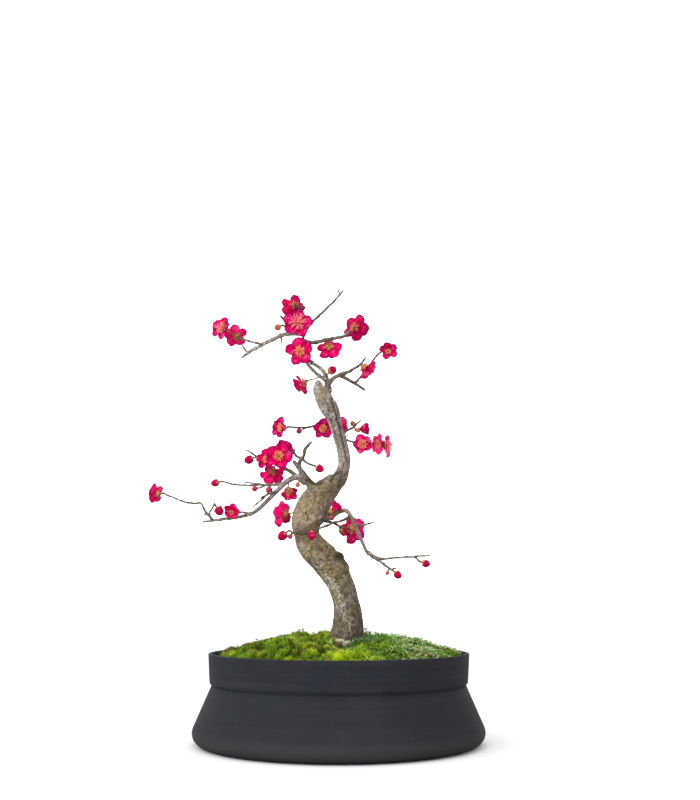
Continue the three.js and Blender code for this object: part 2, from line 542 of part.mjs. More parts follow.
// Buds that show petals, and the smaller ones still in their scales (scales: true).
const BUDS = [
  { id: 1, at: [-54.5, 8, 350.5], radius: 2.6, from: [-50.3, 8, 352.5], scales: true },
  { id: 2, at: [-6.5, 4, 311], radius: 3.7, from: [-12, 2.3, 306] },
  { id: 3, at: [-35.5, 21, 260], radius: 2.5, from: [-28, 21, 263.6], scales: true },
  { id: 4, at: [-77.5, 3, 232.5], radius: 3.7, from: [-71, 5, 235.5] },
  { id: 5, at: [-16.5, -9, 223.5], radius: 3.4, from: [-20, -8.8, 225.4] },
  { id: 6, at: [-106, 3, 212.5], radius: 3.2, from: [-102, 3, 213.5] },
  { id: 7, at: [-71, -9, 206.5], radius: 2.4, from: [-68, -9, 207.2], scales: true },
  { id: 8, at: [-59, -8, 205.5], radius: 3, from: [-58.5, -5.2, 210], scales: true },
  { id: 9, at: [-99, -22, 187], radius: 3.7, from: [-103, -22, 192.5] },
  { id: 10, at: [-47, -13, 167], radius: 3.9, from: [-43.2, -13, 170.3] },
  { id: 11, at: [-40.5, -13, 166.5], radius: 2.2, from: [-39, -13, 169], scales: true },
  { id: 12, at: [-22.5, -21, 167], radius: 3.4, from: [-22.5, -19.8, 172] },
  { id: 13, at: [-6, -14, 182], radius: 2.4, from: [-3, -11.8, 185.6], scales: true },
  { id: 14, at: [48, -25, 134.7], radius: 3.1, from: [44.6, -24, 138] },
  { id: 15, at: [39.5, -24.2, 136.3], radius: 1.7, from: [40.2, -24, 138.4], scales: true },
  { id: 16, at: [71.8, -13, 144.2], radius: 3.2, from: [68, -13, 145.2] },
  { id: 17, at: [11.6, 10.4, 265], radius: 2.4, from: [12.6, 12, 262], scales: true },
  { id: 18, at: [-35, -8, 210], radius: 2.1, from: [-33.5, -5.6, 215], scales: true },
  { id: 19, at: [1.5, 4, 172.5], radius: 2.2, from: [0, 7.6, 176], scales: true },
];

// Place and turn of a bloom: +Z of its own frame is the way it faces.
function bloomFrame({ at, faces, turn }) {
  const out = vector(faces).normalize();
  const level = new THREE.Vector3(-out.y, out.x, 0);
  const right = level.lengthSq() > 0.01 ? level.normalize() : new THREE.Vector3(1, 0, 0);
  const up = out.clone().cross(right);
  return new THREE.Matrix4()
    .makeBasis(right, up, out)
    .multiply(new THREE.Matrix4().makeRotationZ(radians(turn)))
    .setPosition(vector(at));
}

// Five rounded petals and the disc they grow from, in one plate split alike on both faces.
function makePetals({ across, cup }) {
  const lift = radians(cup * PETAL.lift);
  const length = across / 2 / Math.cos(lift);
  const front = [new THREE.Vector3(0, 0, DISC_TOP)];
  const back = [new THREE.Vector3(0, 0, CLEARANCE)];
  const faces = [];
  const perPetal = 2 + PETAL.edge.length;
  const share = (2 * Math.PI) / PETALS;
  for (let petal = 0; petal < PETALS; petal += 1) {
    const middle = share * petal;
    const behind = polar(Math.sin(lift), middle, -Math.cos(lift));
    const place = (reach, degrees, sink) => {
      const height = DISC_TOP + length * (reach * Math.sin(lift) - sink);
      return polar(length * reach * Math.cos(lift), middle + radians(degrees), height);
    };
    const notch = polar(PETAL.discRadius, middle - share / 2, DISC_TOP);
    const rim = [...PETAL.edge.map(([reach, degrees]) => place(reach, degrees, 0)), place(...PETAL.dish)];
    front.push(notch, ...rim);
    back.push(
      notch.clone().setZ(CLEARANCE),
      ...rim.map((corner) => corner.clone().addScaledVector(behind, PETAL.thickness)),
    );
    const start = 1 + perPetal * petal;
    const after = 1 + perPetal * ((petal + 1) % PETALS);
    const heart = start + perPetal - 1;
    const ring = [...Array.from({ length: perPetal - 1 }, (_, k) => start + k), after];
    faces.push([heart, after, start], [0, start, after]);
    for (let k = 0; k < ring.length - 1; k += 1) faces.push([heart, ring[k], ring[k + 1]]);
  }
  const count = front.length;
  const both = faces.flatMap(([a, b, c]) => [a, b, c, count + a, count + c, count + b]);
  for (let petal = 0; petal < PETALS; petal += 1) {
    const corners = Array.from({ length: perPetal }, (_, k) => 1 + perPetal * petal + k);
    corners[perPetal - 1] = 1 + perPetal * ((petal + 1) % PETALS);
    for (let k = 0; k < perPetal - 1; k += 1) {
      const [a, b] = [corners[k], corners[k + 1]];
      both.push(a, count + a, count + b, a, count + b, b);
    }
  }
  return solidOf(surface([...front, ...back], both));
}

// Stamens: a low boss whose faces draw out into filaments that widen into their anthers.
// They stand a gap above the disc, or are sunk into it where the two are one solid.
function makeStamens({ id, across, cup, facesAway }) {
  const random = draw(SEED.stamens + id);
  const n = STAMEN.count;
  const foot = DISC_TOP + (facesAway ? -CLEARANCE : CLEARANCE);
  const heart = new THREE.Vector3(0, 0, foot + STAMEN.bossHeight / 2);
  const points = [...loop(n, STAMEN.bossRadius, foot), polar(0, 0, foot + STAMEN.bossHeight)];
  const faces = [];
  for (let j = 1; j < n - 1; j += 1) faces.push(0, j + 1, j);
  for (let i = 0; i < n; i += 1) {
    const angle = (2 * Math.PI * (i + 0.5 + STAMEN.wander * (random() - 0.5))) / n;
    const lean = radians(lerp(...STAMEN.lean, random()) * (1 - cup));
    const reach = across * STAMEN.reach * lerp(...STAMEN.vary, random());
    const side = polar(1, angle + Math.PI / 2);
    const along = polar(Math.sin(lean), angle, Math.cos(lean));
    const inward = along.clone().cross(side);
    let below = [i, (i + 1) % n, n];
    for (const [part, radius] of [[STAMEN.filament, STAMEN.radius], [1, STAMEN.anther]]) {
      const middle = heart.clone().addScaledVector(along, reach * part);
      const above = STAMEN.corners.map((_, k) => points.length + k);
      points.push(...STAMEN.corners.map((degrees) => (
        middle.clone()
          .addScaledVector(side, radius * Math.cos(radians(degrees)))
          .addScaledVector(inward, radius * Math.sin(radians(degrees)))
      )));
      for (let k = 0; k < above.length; k += 1) {
        const next = (k + 1) % above.length;
        faces.push(below[k], below[next], above[next], below[k], above[next], above[k]);
      }
      below = above;
    }
    faces.push(...below);
  }
  return solidOf(surface(points, faces));
}

// Stalk from the twig, its loops level with the cup's, then the loops of the cup itself.
function stalkAndCup({ from }, frame, cup) {
  const start = frame.clone().setPosition(vector(from));
  return solidOf(loft([
    loop(STALK.sides, STALK.radius, 0).map((corner) => corner.applyMatrix4(start)),
    ...cup.map((corners) => corners.map((corner) => corner.applyMatrix4(frame))),
  ]));
}

// Calyx on its stalk: a cup that opens into five sepals, which stand between the petals.
function bloomWood(bloom) {
  const sepal = Math.min(CALYX.reach, bloom.across * CALYX.reachShare);
  const reach = bloom.cup > CLOSED_CUP ? sepal * CALYX.closedShare : sepal;
  return stalkAndCup(bloom, bloomFrame(bloom), [
    loop(STALK.sides, CALYX.foot, -CALYX.depth),
    loop(2 * STALK.sides, (j) => (j % 2 ? reach : CALYX.cup), 0),
  ]);
}

function budFrame({ at, from }) {
  const faces = vector(at).sub(vector(from)).toArray();
  return bloomFrame({ at, faces, turn: 0 });
}

const budLoops = (profile, sides, radius) => (
  profile.map(([r, z], i) => loop(sides, r * radius, z * radius, BUD.twist * i))
);

// Ball of wrapped petals, a little pointed.
const makeBud = ({ radius }) => solidOf(loft(budLoops(BUD.ball, BUD.sides, radius)));

// Cup of sepals under a bud, or the whole bud where its scales are still closed.
function budWood(bud) {
  const { radius, scales } = bud;
  const loops = scales
    ? budLoops(BUD.scales, STALK.sides, radius)
    : budLoops(BUD.cup, STALK.sides, radius + CLEARANCE);
  return stalkAndCup(bud, budFrame(bud), loops);
}

function makeTree() {
  const trunk = limb(TRUNK, BARK.sides, 0, barkRelief);
  const wood = [
    trunk,
    ...makeRoots(0),
    ...Object.values(LIMBS).map((stations) => limb(stations, limbSides(stations))),
    limb(SHOULDER, BARK.lumpSides),
    limb(OLD_CUT.stub, BARK.lumpSides),
    ...BLOOMS.map(bloomWood),
    ...BUDS.map(budWood),
  ];
  return filled(join(wood).subtract(limb(OLD_CUT.hollow, BARK.lumpSides)));
}

// ---------------------------------------------------------------- moss

const cushionDraw = draw(SEED.cushions);
const CUSHIONS = Array.from({ length: MOSS.cushions }, (_, i) => ({
  at: polar(
    POT.waistRadius * MOSS.cushionSpread * Math.sqrt((i + 0.5) / MOSS.cushions),
    i * GOLDEN_ANGLE,
  ),
  radius: lerp(...MOSS.cushionRadius, cushionDraw()),
  height: lerp(...MOSS.cushionHeight, cushionDraw()),
}));
const TRUNK_BASE_X = TRUNK[4][0];

// Height of the moss: a mound round the trunk with cushions standing out of it.
function mossTop(x, y) {
  const distance = Math.min(1, Math.hypot(x - TRUNK_BASE_X, y) / POT.waistRadius);
  const mound = lerp(MOSS.crownHeight, MOSS.edgeHeight, distance ** MOSS.dome);
  const inside = (POT.waistRadius - Math.hypot(x, y)) / MOSS.edgeBand;
  const rise = CUSHIONS.map(({ at, radius, height }) => {
    const from = Math.hypot(x - at.x, y - at.y) / radius;
    return from < 1 ? height * Math.sqrt(1 - from * from) : 0;
  });
  const share = lerp(MOSS.edgeShare, 1, THREE.MathUtils.clamp(inside, 0, 1));
  return mound + share * Math.max(...rise) - MOSS.settle;
}

// Carpet on the soil: turned as a flat-topped disc, whose top then takes the moss's heights.
function makeCarpet() {
  const outer = POT.waistRadius - MOSS.edgeGap;
  const flat = 2 * MOSS.crownHeight;
  const top = Array.from({ length: MOSS.rings + 1 }, (_, i) => [outer * (1 - i / MOSS.rings), flat]);
  const underside = [0, SOIL.shoulder, outer].map((r) => [r, soilTop(r) + 2 * CLEARANCE]);
  const carpet = revolve([...underside, ...top], MOSS.sectors);
  const place = carpet.attributes.position;
  for (let i = 0; i < place.count; i += 1) {
    if (place.getZ(i) > MOSS.crownHeight) place.setZ(i, mossTop(place.getX(i), place.getY(i)));
  }
  return solidOf(carpet);
}

function makeMoss(foot) {
  const random = draw(SEED.blades);
  const blades = Array.from({ length: BLADE.count }, () => {
    const angle = 2 * Math.PI * random();
    const { x, y } = polar(lerp(...BLADE.zone, random()), angle);
    const ground = mossTop(x, y);
    const height = lerp(...BLADE.height, random());
    const lean = [x, y].map((start) => start + lerp(-BLADE.lean, BLADE.lean, random()));
    return limb([
      [x, y, ground - BLADE.sink, BLADE.radius],
      [...lean, ground + height, BLADE.radius * BLADE.taper],
    ], BLADE.sides);
  });
  return join([makeCarpet(), ...blades]).subtract(foot);
}

// ---------------------------------------------------------------- assembly

function mesh(name, geometry, look) {
  const piece = new THREE.Mesh(geometry, new THREE.MeshStandardMaterial(look));
  piece.name = name;
  return piece;
}

function placed(matrix, ...pieces) {
  const group = new THREE.Group();
  matrix.decompose(group.position, group.quaternion, group.scale);
  group.add(...pieces);
  return group;
}

const bonsai = new THREE.Group();
bonsai.name = 'flowering_bonsai';

const hole = makeFoot(HOLE_GAP);
bonsai.add(
  mesh('pot', geometryOf(makePot()), COLOURS.pot),
  mesh('soil', geometryOf(makeSoil(hole)), COLOURS.soil),
  mesh('moss', geometryOf(makeMoss(hole)), COLOURS.moss),
  mesh('tree', geometryOf(makeTree()), COLOURS.tree),
);

holePlaces.forEach(({ x, y }, i) => {
  const screen = mesh(`drainage_screen_${i + 1}`, makeScreen(), COLOURS.screen);
  screen.position.set(x, y, POT.floor + CLEARANCE);
  bonsai.add(screen);
});

const numbered = ({ id }) => String(id).padStart(2, '0');
for (const bloom of BLOOMS) {
  const name = `bloom_${numbered(bloom)}`;
  const corolla = makePetals(bloom);
  const petals = bloom.facesAway ? corolla.add(makeStamens(bloom)) : corolla;
  const pieces = [mesh(`${name}_petals`, geometryOf(petals), COLOURS.petals)];
  if (!bloom.facesAway && bloom.cup < CLOSED_CUP) {
    pieces.push(mesh(`${name}_stamens`, geometryOf(makeStamens(bloom)), COLOURS.stamens));
  }
  bonsai.add(placed(bloomFrame(bloom), ...pieces));
}

for (const bud of BUDS.filter(({ scales }) => !scales)) {
  const petals = mesh(`bud_${numbered(bud)}_petals`, geometryOf(makeBud(bud)), COLOURS.buds);
  bonsai.add(placed(budFrame(bud), petals));
}

export default bonsai;
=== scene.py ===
"""Looks of a flowering plum bonsai in a round stoneware pot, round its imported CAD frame.

Shapes are worked out in millimetres, as the CAD part's are, and become metres where a mesh
is made. Stations, blooms and buds are the CAD part's, but for a few blooms that lie up to
2.2 mm off or turn a little more to the front, where the photograph has them.
"""

from collections import namedtuple
from types import SimpleNamespace as Sizes

import bpy
import numpy as np
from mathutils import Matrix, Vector, kdtree, noise


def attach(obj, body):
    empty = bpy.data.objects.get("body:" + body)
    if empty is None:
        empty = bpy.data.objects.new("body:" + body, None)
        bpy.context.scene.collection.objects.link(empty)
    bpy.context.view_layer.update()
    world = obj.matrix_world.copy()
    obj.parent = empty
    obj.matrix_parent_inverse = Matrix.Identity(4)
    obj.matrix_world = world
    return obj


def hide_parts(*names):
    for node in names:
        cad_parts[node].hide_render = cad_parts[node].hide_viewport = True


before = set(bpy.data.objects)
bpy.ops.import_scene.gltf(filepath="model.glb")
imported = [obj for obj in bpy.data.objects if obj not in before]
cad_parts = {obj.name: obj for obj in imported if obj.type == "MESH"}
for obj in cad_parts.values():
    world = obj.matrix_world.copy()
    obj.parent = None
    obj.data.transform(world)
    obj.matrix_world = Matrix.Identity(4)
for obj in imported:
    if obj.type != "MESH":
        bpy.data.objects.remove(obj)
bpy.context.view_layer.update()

MM = 0.001
LIT = 2.0  # how much light an open surface that faces the camera sends back, at albedo 1
GOLDEN_ANGLE = np.pi * (3 - np.sqrt(5))

CAMERA = Sizes(at=(0.0091, -0.9, 0.122), pitch=10.2, lens=47.7)
KEY = Sizes(at=(-1.5, -1.2, 1.05), towards=(0, 0, 0.18), size=2.4, power=49)
SURROUNDINGS = 2.25  # brightness of the white world
FLOOR = Sizes(radius=4000, sides=96, drop=0.2, grey=0.49)

POT = Sizes(
    base_radius=119, fillet=10, fillet_end=22, waist_radius=104.4, waist_height=46.3, groove=0.5,
    band_radius=106, rim_radius=107.2, height=71.8, rim_wall=3.4, edge=0.9,
    inside=[(103.8, 70.8), (100.4, 46.3), (112, 13), (110, 7)],
    floor=7, hole_radius=7, hole_circle=56, sides=192)
MOSS = Sizes(
    radius=101.6, under=64, edge=70.6, crown=83, dome=1.5, trunk_x=6, cushions=42, spread=0.92,
    cushion_radius=(10, 19), cushion_height=(3, 7.5), edge_band=10, edge_share=0.35, settle=3.5,
    rings=84, sides=340, tufts=700, tuft_share=0.75, leaves=34000, stars=3600)
GRASS = Sizes(fresh=760, dark=420, left=90)
CHIPS = 60
WOOD = Sizes(
    trunk_sides=40, limb_sides=20, trunk_step=1.5, limb_step=1.0, voxel=0.72, limb_gap=400.0,
    twig_step=0.55, twig_sides=10, stouter=1.08, thinnest=0.45, bark_step=0.8)
PETAL = Sizes(lift=75, width=0.45, rows=9, columns=13, thickness=0.24, claw=0.13, fullness=1.06,
              notch=0.46, foot=0.75)
STAMEN = Sizes(count=46, lean=72, radius=0.25, anther=(0.33, 0.28, 0.42), steps=6, ring=0.7,
               foot=0.6)
SEPAL = Sizes(reach=4.8, share=0.23, closed=0.65, thickness=0.35)
STALK = Sizes(radius=0.65, cup_foot=1.25, cup_depth=2.8, cup=2.2)
CLOSED_CUP = 0.6  # a bloom with more cup than this is a goblet
TIP_STEPS = np.radians([30, 58, 80])  # where a tube's round tip has its rings
# Each random draw starts from its own seed. Petals and stamens add their bloom's number to it,
# and the cushions' is the one that the CAD part draws them with.
SEED = Sizes(twigs=5, petals=200, stamens=400, calyces=31, cushions=20, tufts=40, leaves=12,
             stars=77, chips=3, grass=9)


# ---- tables of the tree, from the CAD part

def table(columns, text):
    """Rows of that many numbers, one after the other."""
    return np.array(text.split(), float).reshape(-1, columns)


def named(looks, text):
    """Under each name: that many numbers for the looks of its bark, then its stations."""
    rows = {}
    for entry in text.split(";"):
        name, *numbers = entry.split()
        rows[name] = [float(n) for n in numbers[:looks]], table(4, " ".join(numbers[looks:]))
    return rows


# Stations: x, y, z, radius.
TRUNK = table(4, """
    7 0 44 6  6.5 0 57 15.5  5.8 0 70 17.6  5.6 0 77 16.8  6 0 83 15  6.8 0 91.5 13.2
    7 1 103 11.9  5.5 3 114.5 10.9  1.6 5 126.5 10.7  -5.2 6 138.5 11.4  -14 6 149.5 11.8
    -22.5 4 159 11  -27 1 168 10.8  -27.8 -2 178 12.6  -23.6 -4 188 14.4  -18 -4 197.5 13.6
    -11.8 -2 205 11  -5.8 0 210.5 8.6  -0.3 3 216 6.7  3.1 5 223.5 5.3  4.2 6 232 5.1
    3.4 6 240 5.3  1.1 5 249.5 5.3  -1.9 3 258 5.2  -4.6 0 266.5 5.8  -7.6 -2 274 7
    -11.5 -4 281 7.5  -15 -5 287.5 6.6  -17.6 -6 293.5 5  -18.2 -6 297.5 3""")
ROOTS = [table(4, text) for text in (
    "6 0 72 9  -14 -6 66 5  -34 -12 54 2.6  -48 -14 44 1.4",
    "6 0 72 9  -2 18 66 5  -12 38 52 2.6  -16 50 42 1.4",
    "6 0 72 9  24 -8 66 5  42 -20 54 2.6  52 -26 44 1.4")]
SHOULDER = table(4, "-14 -2 203 6.5  -11.5 -2 210 5.8  -7 -1 215.5 4.2")
STUB = table(4, "-9 3 147 5.6  -3 0 149.3 5.6  0.2 -2 149.6 4.4")
COLLAR = table(4, "-8 3 140 6  1 1 139.5 7.2  0.2 -0.5 146 4.4")
# Limbs thick enough to flow into the trunk: tone, paleness, green and rust, then stations.
BRANCHES = named(4, """
    leader  0.4 0.55 0.1 0.1  -11 -3 281.5 3.6  -11 -1 291.5 2.7  -10.5 1 300 2.4;
    crown_up  0.44 0.7 0.05 0.05  -10.5 1 298 2.3  -12 2 306 2  -17 4 313 1.7  -24 6 318 1.5
        -30 8 323.5 1.4;
    right  0.36 0.85 0 0.05  -10 1 297 2.3  -5 1 303.5 2  0.5 0 306 1.8  8.5 -3 308.5 1.3;
    right_lower  0.34 0.85 0 0.05  0.5 0 305.5 1.7  7.5 1 302 1.6  13.5 3 299 1.5
        21.5 5 294 1.3;
    bough  0.4 0.55 0.3 0  -19 -2 203.5 6  -23.5 -3 209.5 4.1  -27.5 -3 214.5 3.3
        -31.5 -3 220.5 2.7  -35 -3 226 2.2  -38.5 -3 230 1.7;
    cluster  0.4 0.5 0.2 0.05  -30.5 -4 214.5 2.6  -36 -4 217.5 2.1  -41 -3 221.5 1.8
        -46.5 -1 224.5 1.6  -53.5 2 229 1.4;
    left  0.52 0.9 0 0.05  -28.5 -4 212 3.2  -35.5 -6 216.5 2.6  -43 -8 213.5 2.4
        -49 -10 208 2.2  -54 -12 202.5 2.1  -61 -14 195 2  -67.5 -16 188.5 1.8  -72.5 -17 185 1.6
        -81 -19 182.5 1.3;
    low_right  0.44 0.75 0.05 0.1  -11 -4 183 4  -4 -11 185 2.6  1.5 -15 187.5 2.1
        6 -17 187.5 1.95  9 -18 184 1.9  12 -18 178 1.8  15.5 -18 169.5 1.7  19.5 -18 161 1.6
        23.5 -18 153 1.5  29 -18 149.5 1.4""")
# Twigs: how pale their bark is, from 0 to 1, then stations.
TWIGS = named(1, """
    crown_up 0.45  -24 6 318 1.5  -30 8 323.5 1.4  -33 11 335 1.3  -31 13 346 1.3
        -27 14 354 1.2  -20 15 361.5 1.1  -11.5 16 370 1  -4.5 17 377.5 0.9  0.5 17 383.5 0.8;
    crown_tip_left 0.5  0 17 382.5 0.8  -1.5 18 387.3 0.6;
    crown_tip_right 0.5  0 17 382.5 0.8  3 16 386.5 0.6;
    crown_twin 0.5  -11.5 1 301.5 1.7  -19 0 306.5 1.4  -25 -1 312 1.3  -29 3 318.5 1.2
        -31.5 8 325.5 1.1;
    crown_right 0.35  -33 12 339 1.5  -23 9 337 1.6  -9.5 5 339 1.5  -2.5 4 340 1.4
        4.5 3 341.5 1.3  8.5 3 345.5 1;
    crown_left 1  -31.5 13 346 1.6  -49 9 344 1.8  -60 5 338 1.7  -69.5 2 332 1.6
        -78.5 -1 326 1.4  -84.5 -3 321 1.1;
    crown_left_upper 0.4  -67 2 333.5 0.9  -76.5 0 335.5 0.8  -87.5 -4 338 0.7;
    crown_left_lower 0.6  -79.5 -1 325.5 0.9  -82.5 -2 328.5 0.8  -84.5 -4 332 0.7;
    crown_bud_twig 0.3  -42 12 345.5 0.9  -47 10 351 0.8  -50.5 8 352.5 0.7;
    crown_stub 0.1  -46.5 10 350 0.9  -49 9 357 1  -52 8 360.5 0.9;
    crown_thorn 0.4  -51.5 8 342 0.7  -51 7 335.5 0.4;
    crown_top 0.2  -29 14 349.5 1  -32 15 360 0.9  -35 14 367 0.8  -37.5 10 369.5 0.8;
    crown_top_spur 0.2  -34 14 365 0.8  -33.5 13 373.5 0.5;
    crown_top_low 0.2  -35.5 12.5 367.5 0.8  -37.5 12 373.5 0.5;
    right 0.3  0.5 0 306 1.8  8.5 -3 308.5 1.3  15 -5 312 1  19.5 -6 315.5 0.8
        23 -7 320.5 0.6;
    right_long 0.3  13 3 299 1.1  17 6 304 0.9  23 10 313 0.8  29.5 12 321.5 0.8
        35.5 12 328.5 0.8  40.5 11 330 0.7;
    top_hook 0  -10.5 -1 287.5 0.9  -7.5 -2 291 0.8  -7.5 -3 295 0.7;
    back_left 0.1  -2 7 260 1.2  -8.5 17 264 1  -15.5 20 265 1  -33 21 263 0.8
        -41.5 18 263 0.8  -45 15 263 0.7;
    back_right 0.15  0.5 7 253.5 1.1  5 10 257.5 0.9  9 12 260 0.8  13 12 262.5 0.8
        15 12 265 0.7  19 12 268 0.5;
    mid_right 0.3  2 7 249 1.1  6 10 250.5 0.9  12.5 11 248.5 0.8  19.5 12 247 0.8
        27 14 247.5 0.8  34.5 17.6 246.5 0.7;
    mid_spur 0.8  2 2 251 1  7 -2 252.5 0.5;
    lichen_twig 0.35  -34.5 -3 224.5 1.6  -33 -4 231 1.4  -30.5 -5 234.5 1.2
        -29.5 -5 240 1.4  -26.5 -6 244 1.2  -24 -6 246.5 0.9;
    bough_twig_right 0.2  -32 -4 232.5 1  -27.5 -6 229 0.9  -19.5 -9 225 0.7;
    bough_twig_left 0.2  -31.5 -4 233 1  -36.5 -2 235 0.9  -39.5 1 238.5 0.9
        -43 -1 238.5 0.7;
    bough_spur 0.2  -39 0 238 0.7  -38 -1 241.5 0.5;
    cluster 0.3  -46.5 -1 224.5 1.6  -53.5 2 229 1.4  -59.5 4 233 1.2  -71 5 235.5 0.9
        -75 4 238 0.8  -80 4 240.5 0.6;
    left 0.7  -72.5 -17 185 1.6  -81 -19 182.5 1.3  -94 -21 180.5 1.2  -104.5 -22 179 1
        -111.5 -23 178 0.8;
    left_level 0.6  -45 -9 211.5 1.4  -55.5 -6 210 1.1  -65.5 -3 210.5 0.9  -84.5 1 210.5 0.8
        -92 2 211.5 0.8  -99.5 3 213.5 0.7  -102.5 3 213.5 0.7;
    left_level_spur 0.7  -64.5 -3 210.5 0.8  -79.5 -7 212 0.5;
    left_bud_twig 0.4  -60 -5 210 0.8  -65 -8 208 0.7  -68.5 -9 207 0.7;
    left_thin 0.2  -53.5 -13 203 1  -59 -17 201.5 0.8  -64 -19 196.5 0.7  -71.5 -20 190.5 0.5;
    left_thin_spur 0.2  -59.5 -17 201 0.7  -65 -18 198 0.5;
    left_flower_twig 0.2  -73.5 -17 184.5 0.9  -79.5 -13.5 186.5 0.8  -83.4 -11.5 186.5 0.7;
    left_tip_fork 0.4  -104.5 -22 179 0.9  -107 -22 185 0.8  -104.5 -22 189.5 0.7
        -103 -22 193 0.6;
    left_long 0.4  -106 -22 181.5 0.9  -110 -23 186.5 0.9  -114.5 -24 193 0.8
        -119 -24 193 0.8  -127.5 -23 194 0.8  -133.5 -22 196.5 0.7  -141 -20 199.5 0.7
        -146 -18 202 0.7;
    left_long_spur 0.4  -107.5 -23 184 0.7  -111 -24 184 0.5;
    low_right 0.6  23.5 -18 153 1.6  29 -18 149.5 1.5  34.5 -18 148 1.1  42 -17 148.5 0.9
        63.5 -13 150 0.8  75 -11 151 0.6;
    low_right_spur 0.4  63 -13 149.5 0.8  66.5 -13 146 0.7  68.5 -13 145 0.7;
    low_right_lower 0.6  28 -18 150 1.4  33.5 -20 146 1.2  38 -22 142.5 1.1  42 -23 139.5 0.9
        45 -24 137.5 0.8;
    low_right_bud 0.3  41.5 -23 140 0.7  40 -24 138 0.6;
    low_right_tiny 0.3  43 -23 139 0.7  46.5 -24 140 0.5;
    low_right_side 0.2  13 -18 175 1  20 -16 175.5 0.8  29.5 -14 178.5 0.5;
    across 0.2  9.5 -18 182.5 1.2  5 -20 180 1  -3.5 -21 177.5 0.9  -14 -21 173.5 0.9
        -30 -18 170.5 0.8  -39.5 -13 169 0.7;
    across_bud 0.2  -38 -14 169 0.7  -42 -13 171 0.7  -43.5 -13 170 0.7;
    low_back 0.1  -20.5 2 181 1.5  -12 4 180 1.1  -5.5 7 179 0.9  -0.5 8 176.5 0.9
        2.5 7 175 0.8""")

# Hollow and rim of the old cut, both darkened as painted shade: place, size, depth, darkness.
OLD_CUT = [((0.8, -5, 150.8), (5.4, 7, 4), 1.5, 0.95), ((4.5, -2, 148), (4.5, 7, 6), 0, 0.7)]
FISSURES = [
    # Long cracks in the bark's front in painted shade: half width, depth, x and z of their points.
    (0.8, 1.1, "-7.2 283.2 -3.8 272.8 -0.3 261.5 2.3 250.3 4.8 238.2 6 231"),
    (0.35, 0.4, "-10.6 278.9 -7.2 265.8 -2.9 252 -0.3 241.7"),
    (0.9, 1.1, "0.6 222.8 -4.5 217.7 -7 212.6"), (0.5, 0.6, "4 229.7 1.5 218.6 -1.1 207.6"),
    (0.5, 0.5, "-36 168.7 -30 167.6 -25.7 168.3 -20 169.6 -15.9 170.9"),
    (0.7, 0.8, "-28.2 185.4 -25.8 182.2 -26.6 178.8"),
    (1.1, 1.2, "-27.5 214 -24 211.9 -19.5 210.5 -15.5 211.5"),
    (0.35, 0.3, "-22 205 -20 199 -21 193"), (0.5, 0.5, "19 96 19.5 91 19 86"),
    (0.35, 0.3, "7 92 8.5 84 8 78"), (0.35, 0.3, "-3 134 3 124 5 116"),
]
# x and z along a ridge down the trunk's front, raised, and given a painted highlight.
RIDGE = table(2, "-30.3 158.9 -17.6 145.6 -5.1 126.7 5 106.3 9.1 86")
# Healed knots in the bark's front: x, z, radius, height of the collar.
KNOTS = table(4, """
    -14.2 179.9 2.4 0.8  -24.5 179.7 2.6 0.6  -13.2 272.8 1.8 0.6
    -5.5 268 1.7 0.6  -17.2 294.6 2.6 0.8  12 96 2.4 0.4""")
# Mossy green places on the trunk: x, y, z, reach.
MOSSY = table(4, "-25 -3 213 8  -10 -5 285 3.2  -3 -3 156 6")
# How much fuller the trunk is than its stations: height, mm.
FULLER = table(2, """
    60 -2  78 -1.8  87 -0.4  96 0.2  125 0  142 1.1  150 1.8  158 1.3
    166 -0.3  178 0  190 -0.5  197 -0.9  206 -0.3  214 0.3  300 0.2""").T
# How strongly the bark is mottled: height, share.
MOTTLED = table(2, "60 1  150 0.9  165 0.6  205 0.55  215 0.9  300 0.9").T
# Bark along the trunk: height, then tone, paleness, green and rust.
ZONES = table(5, """
    60 0.25 0.35 0.3 0.05  82 0.27 0.35 0.25 0  98 0.28 0.35 0.25 0
    115 0.36 0.32 0.25 0  130 0.46 0.25 0.3 0  148 0.46 0.12 0.4 0.12
    163 0.56 0.08 0.2 0.5  180 0.66 0.12 0.2 0.4  200 0.48 0.05 0.4 0.25
    214 0.43 0.3 0.3 0.1  228 0.54 0.95 0 0.15  255 0.6 1 0 0.15
    275 0.64 0.9 0.05 0.1  290 0.6 0.8 0.12 0.08  305 0.5 0.7 0.1 0.1""").T
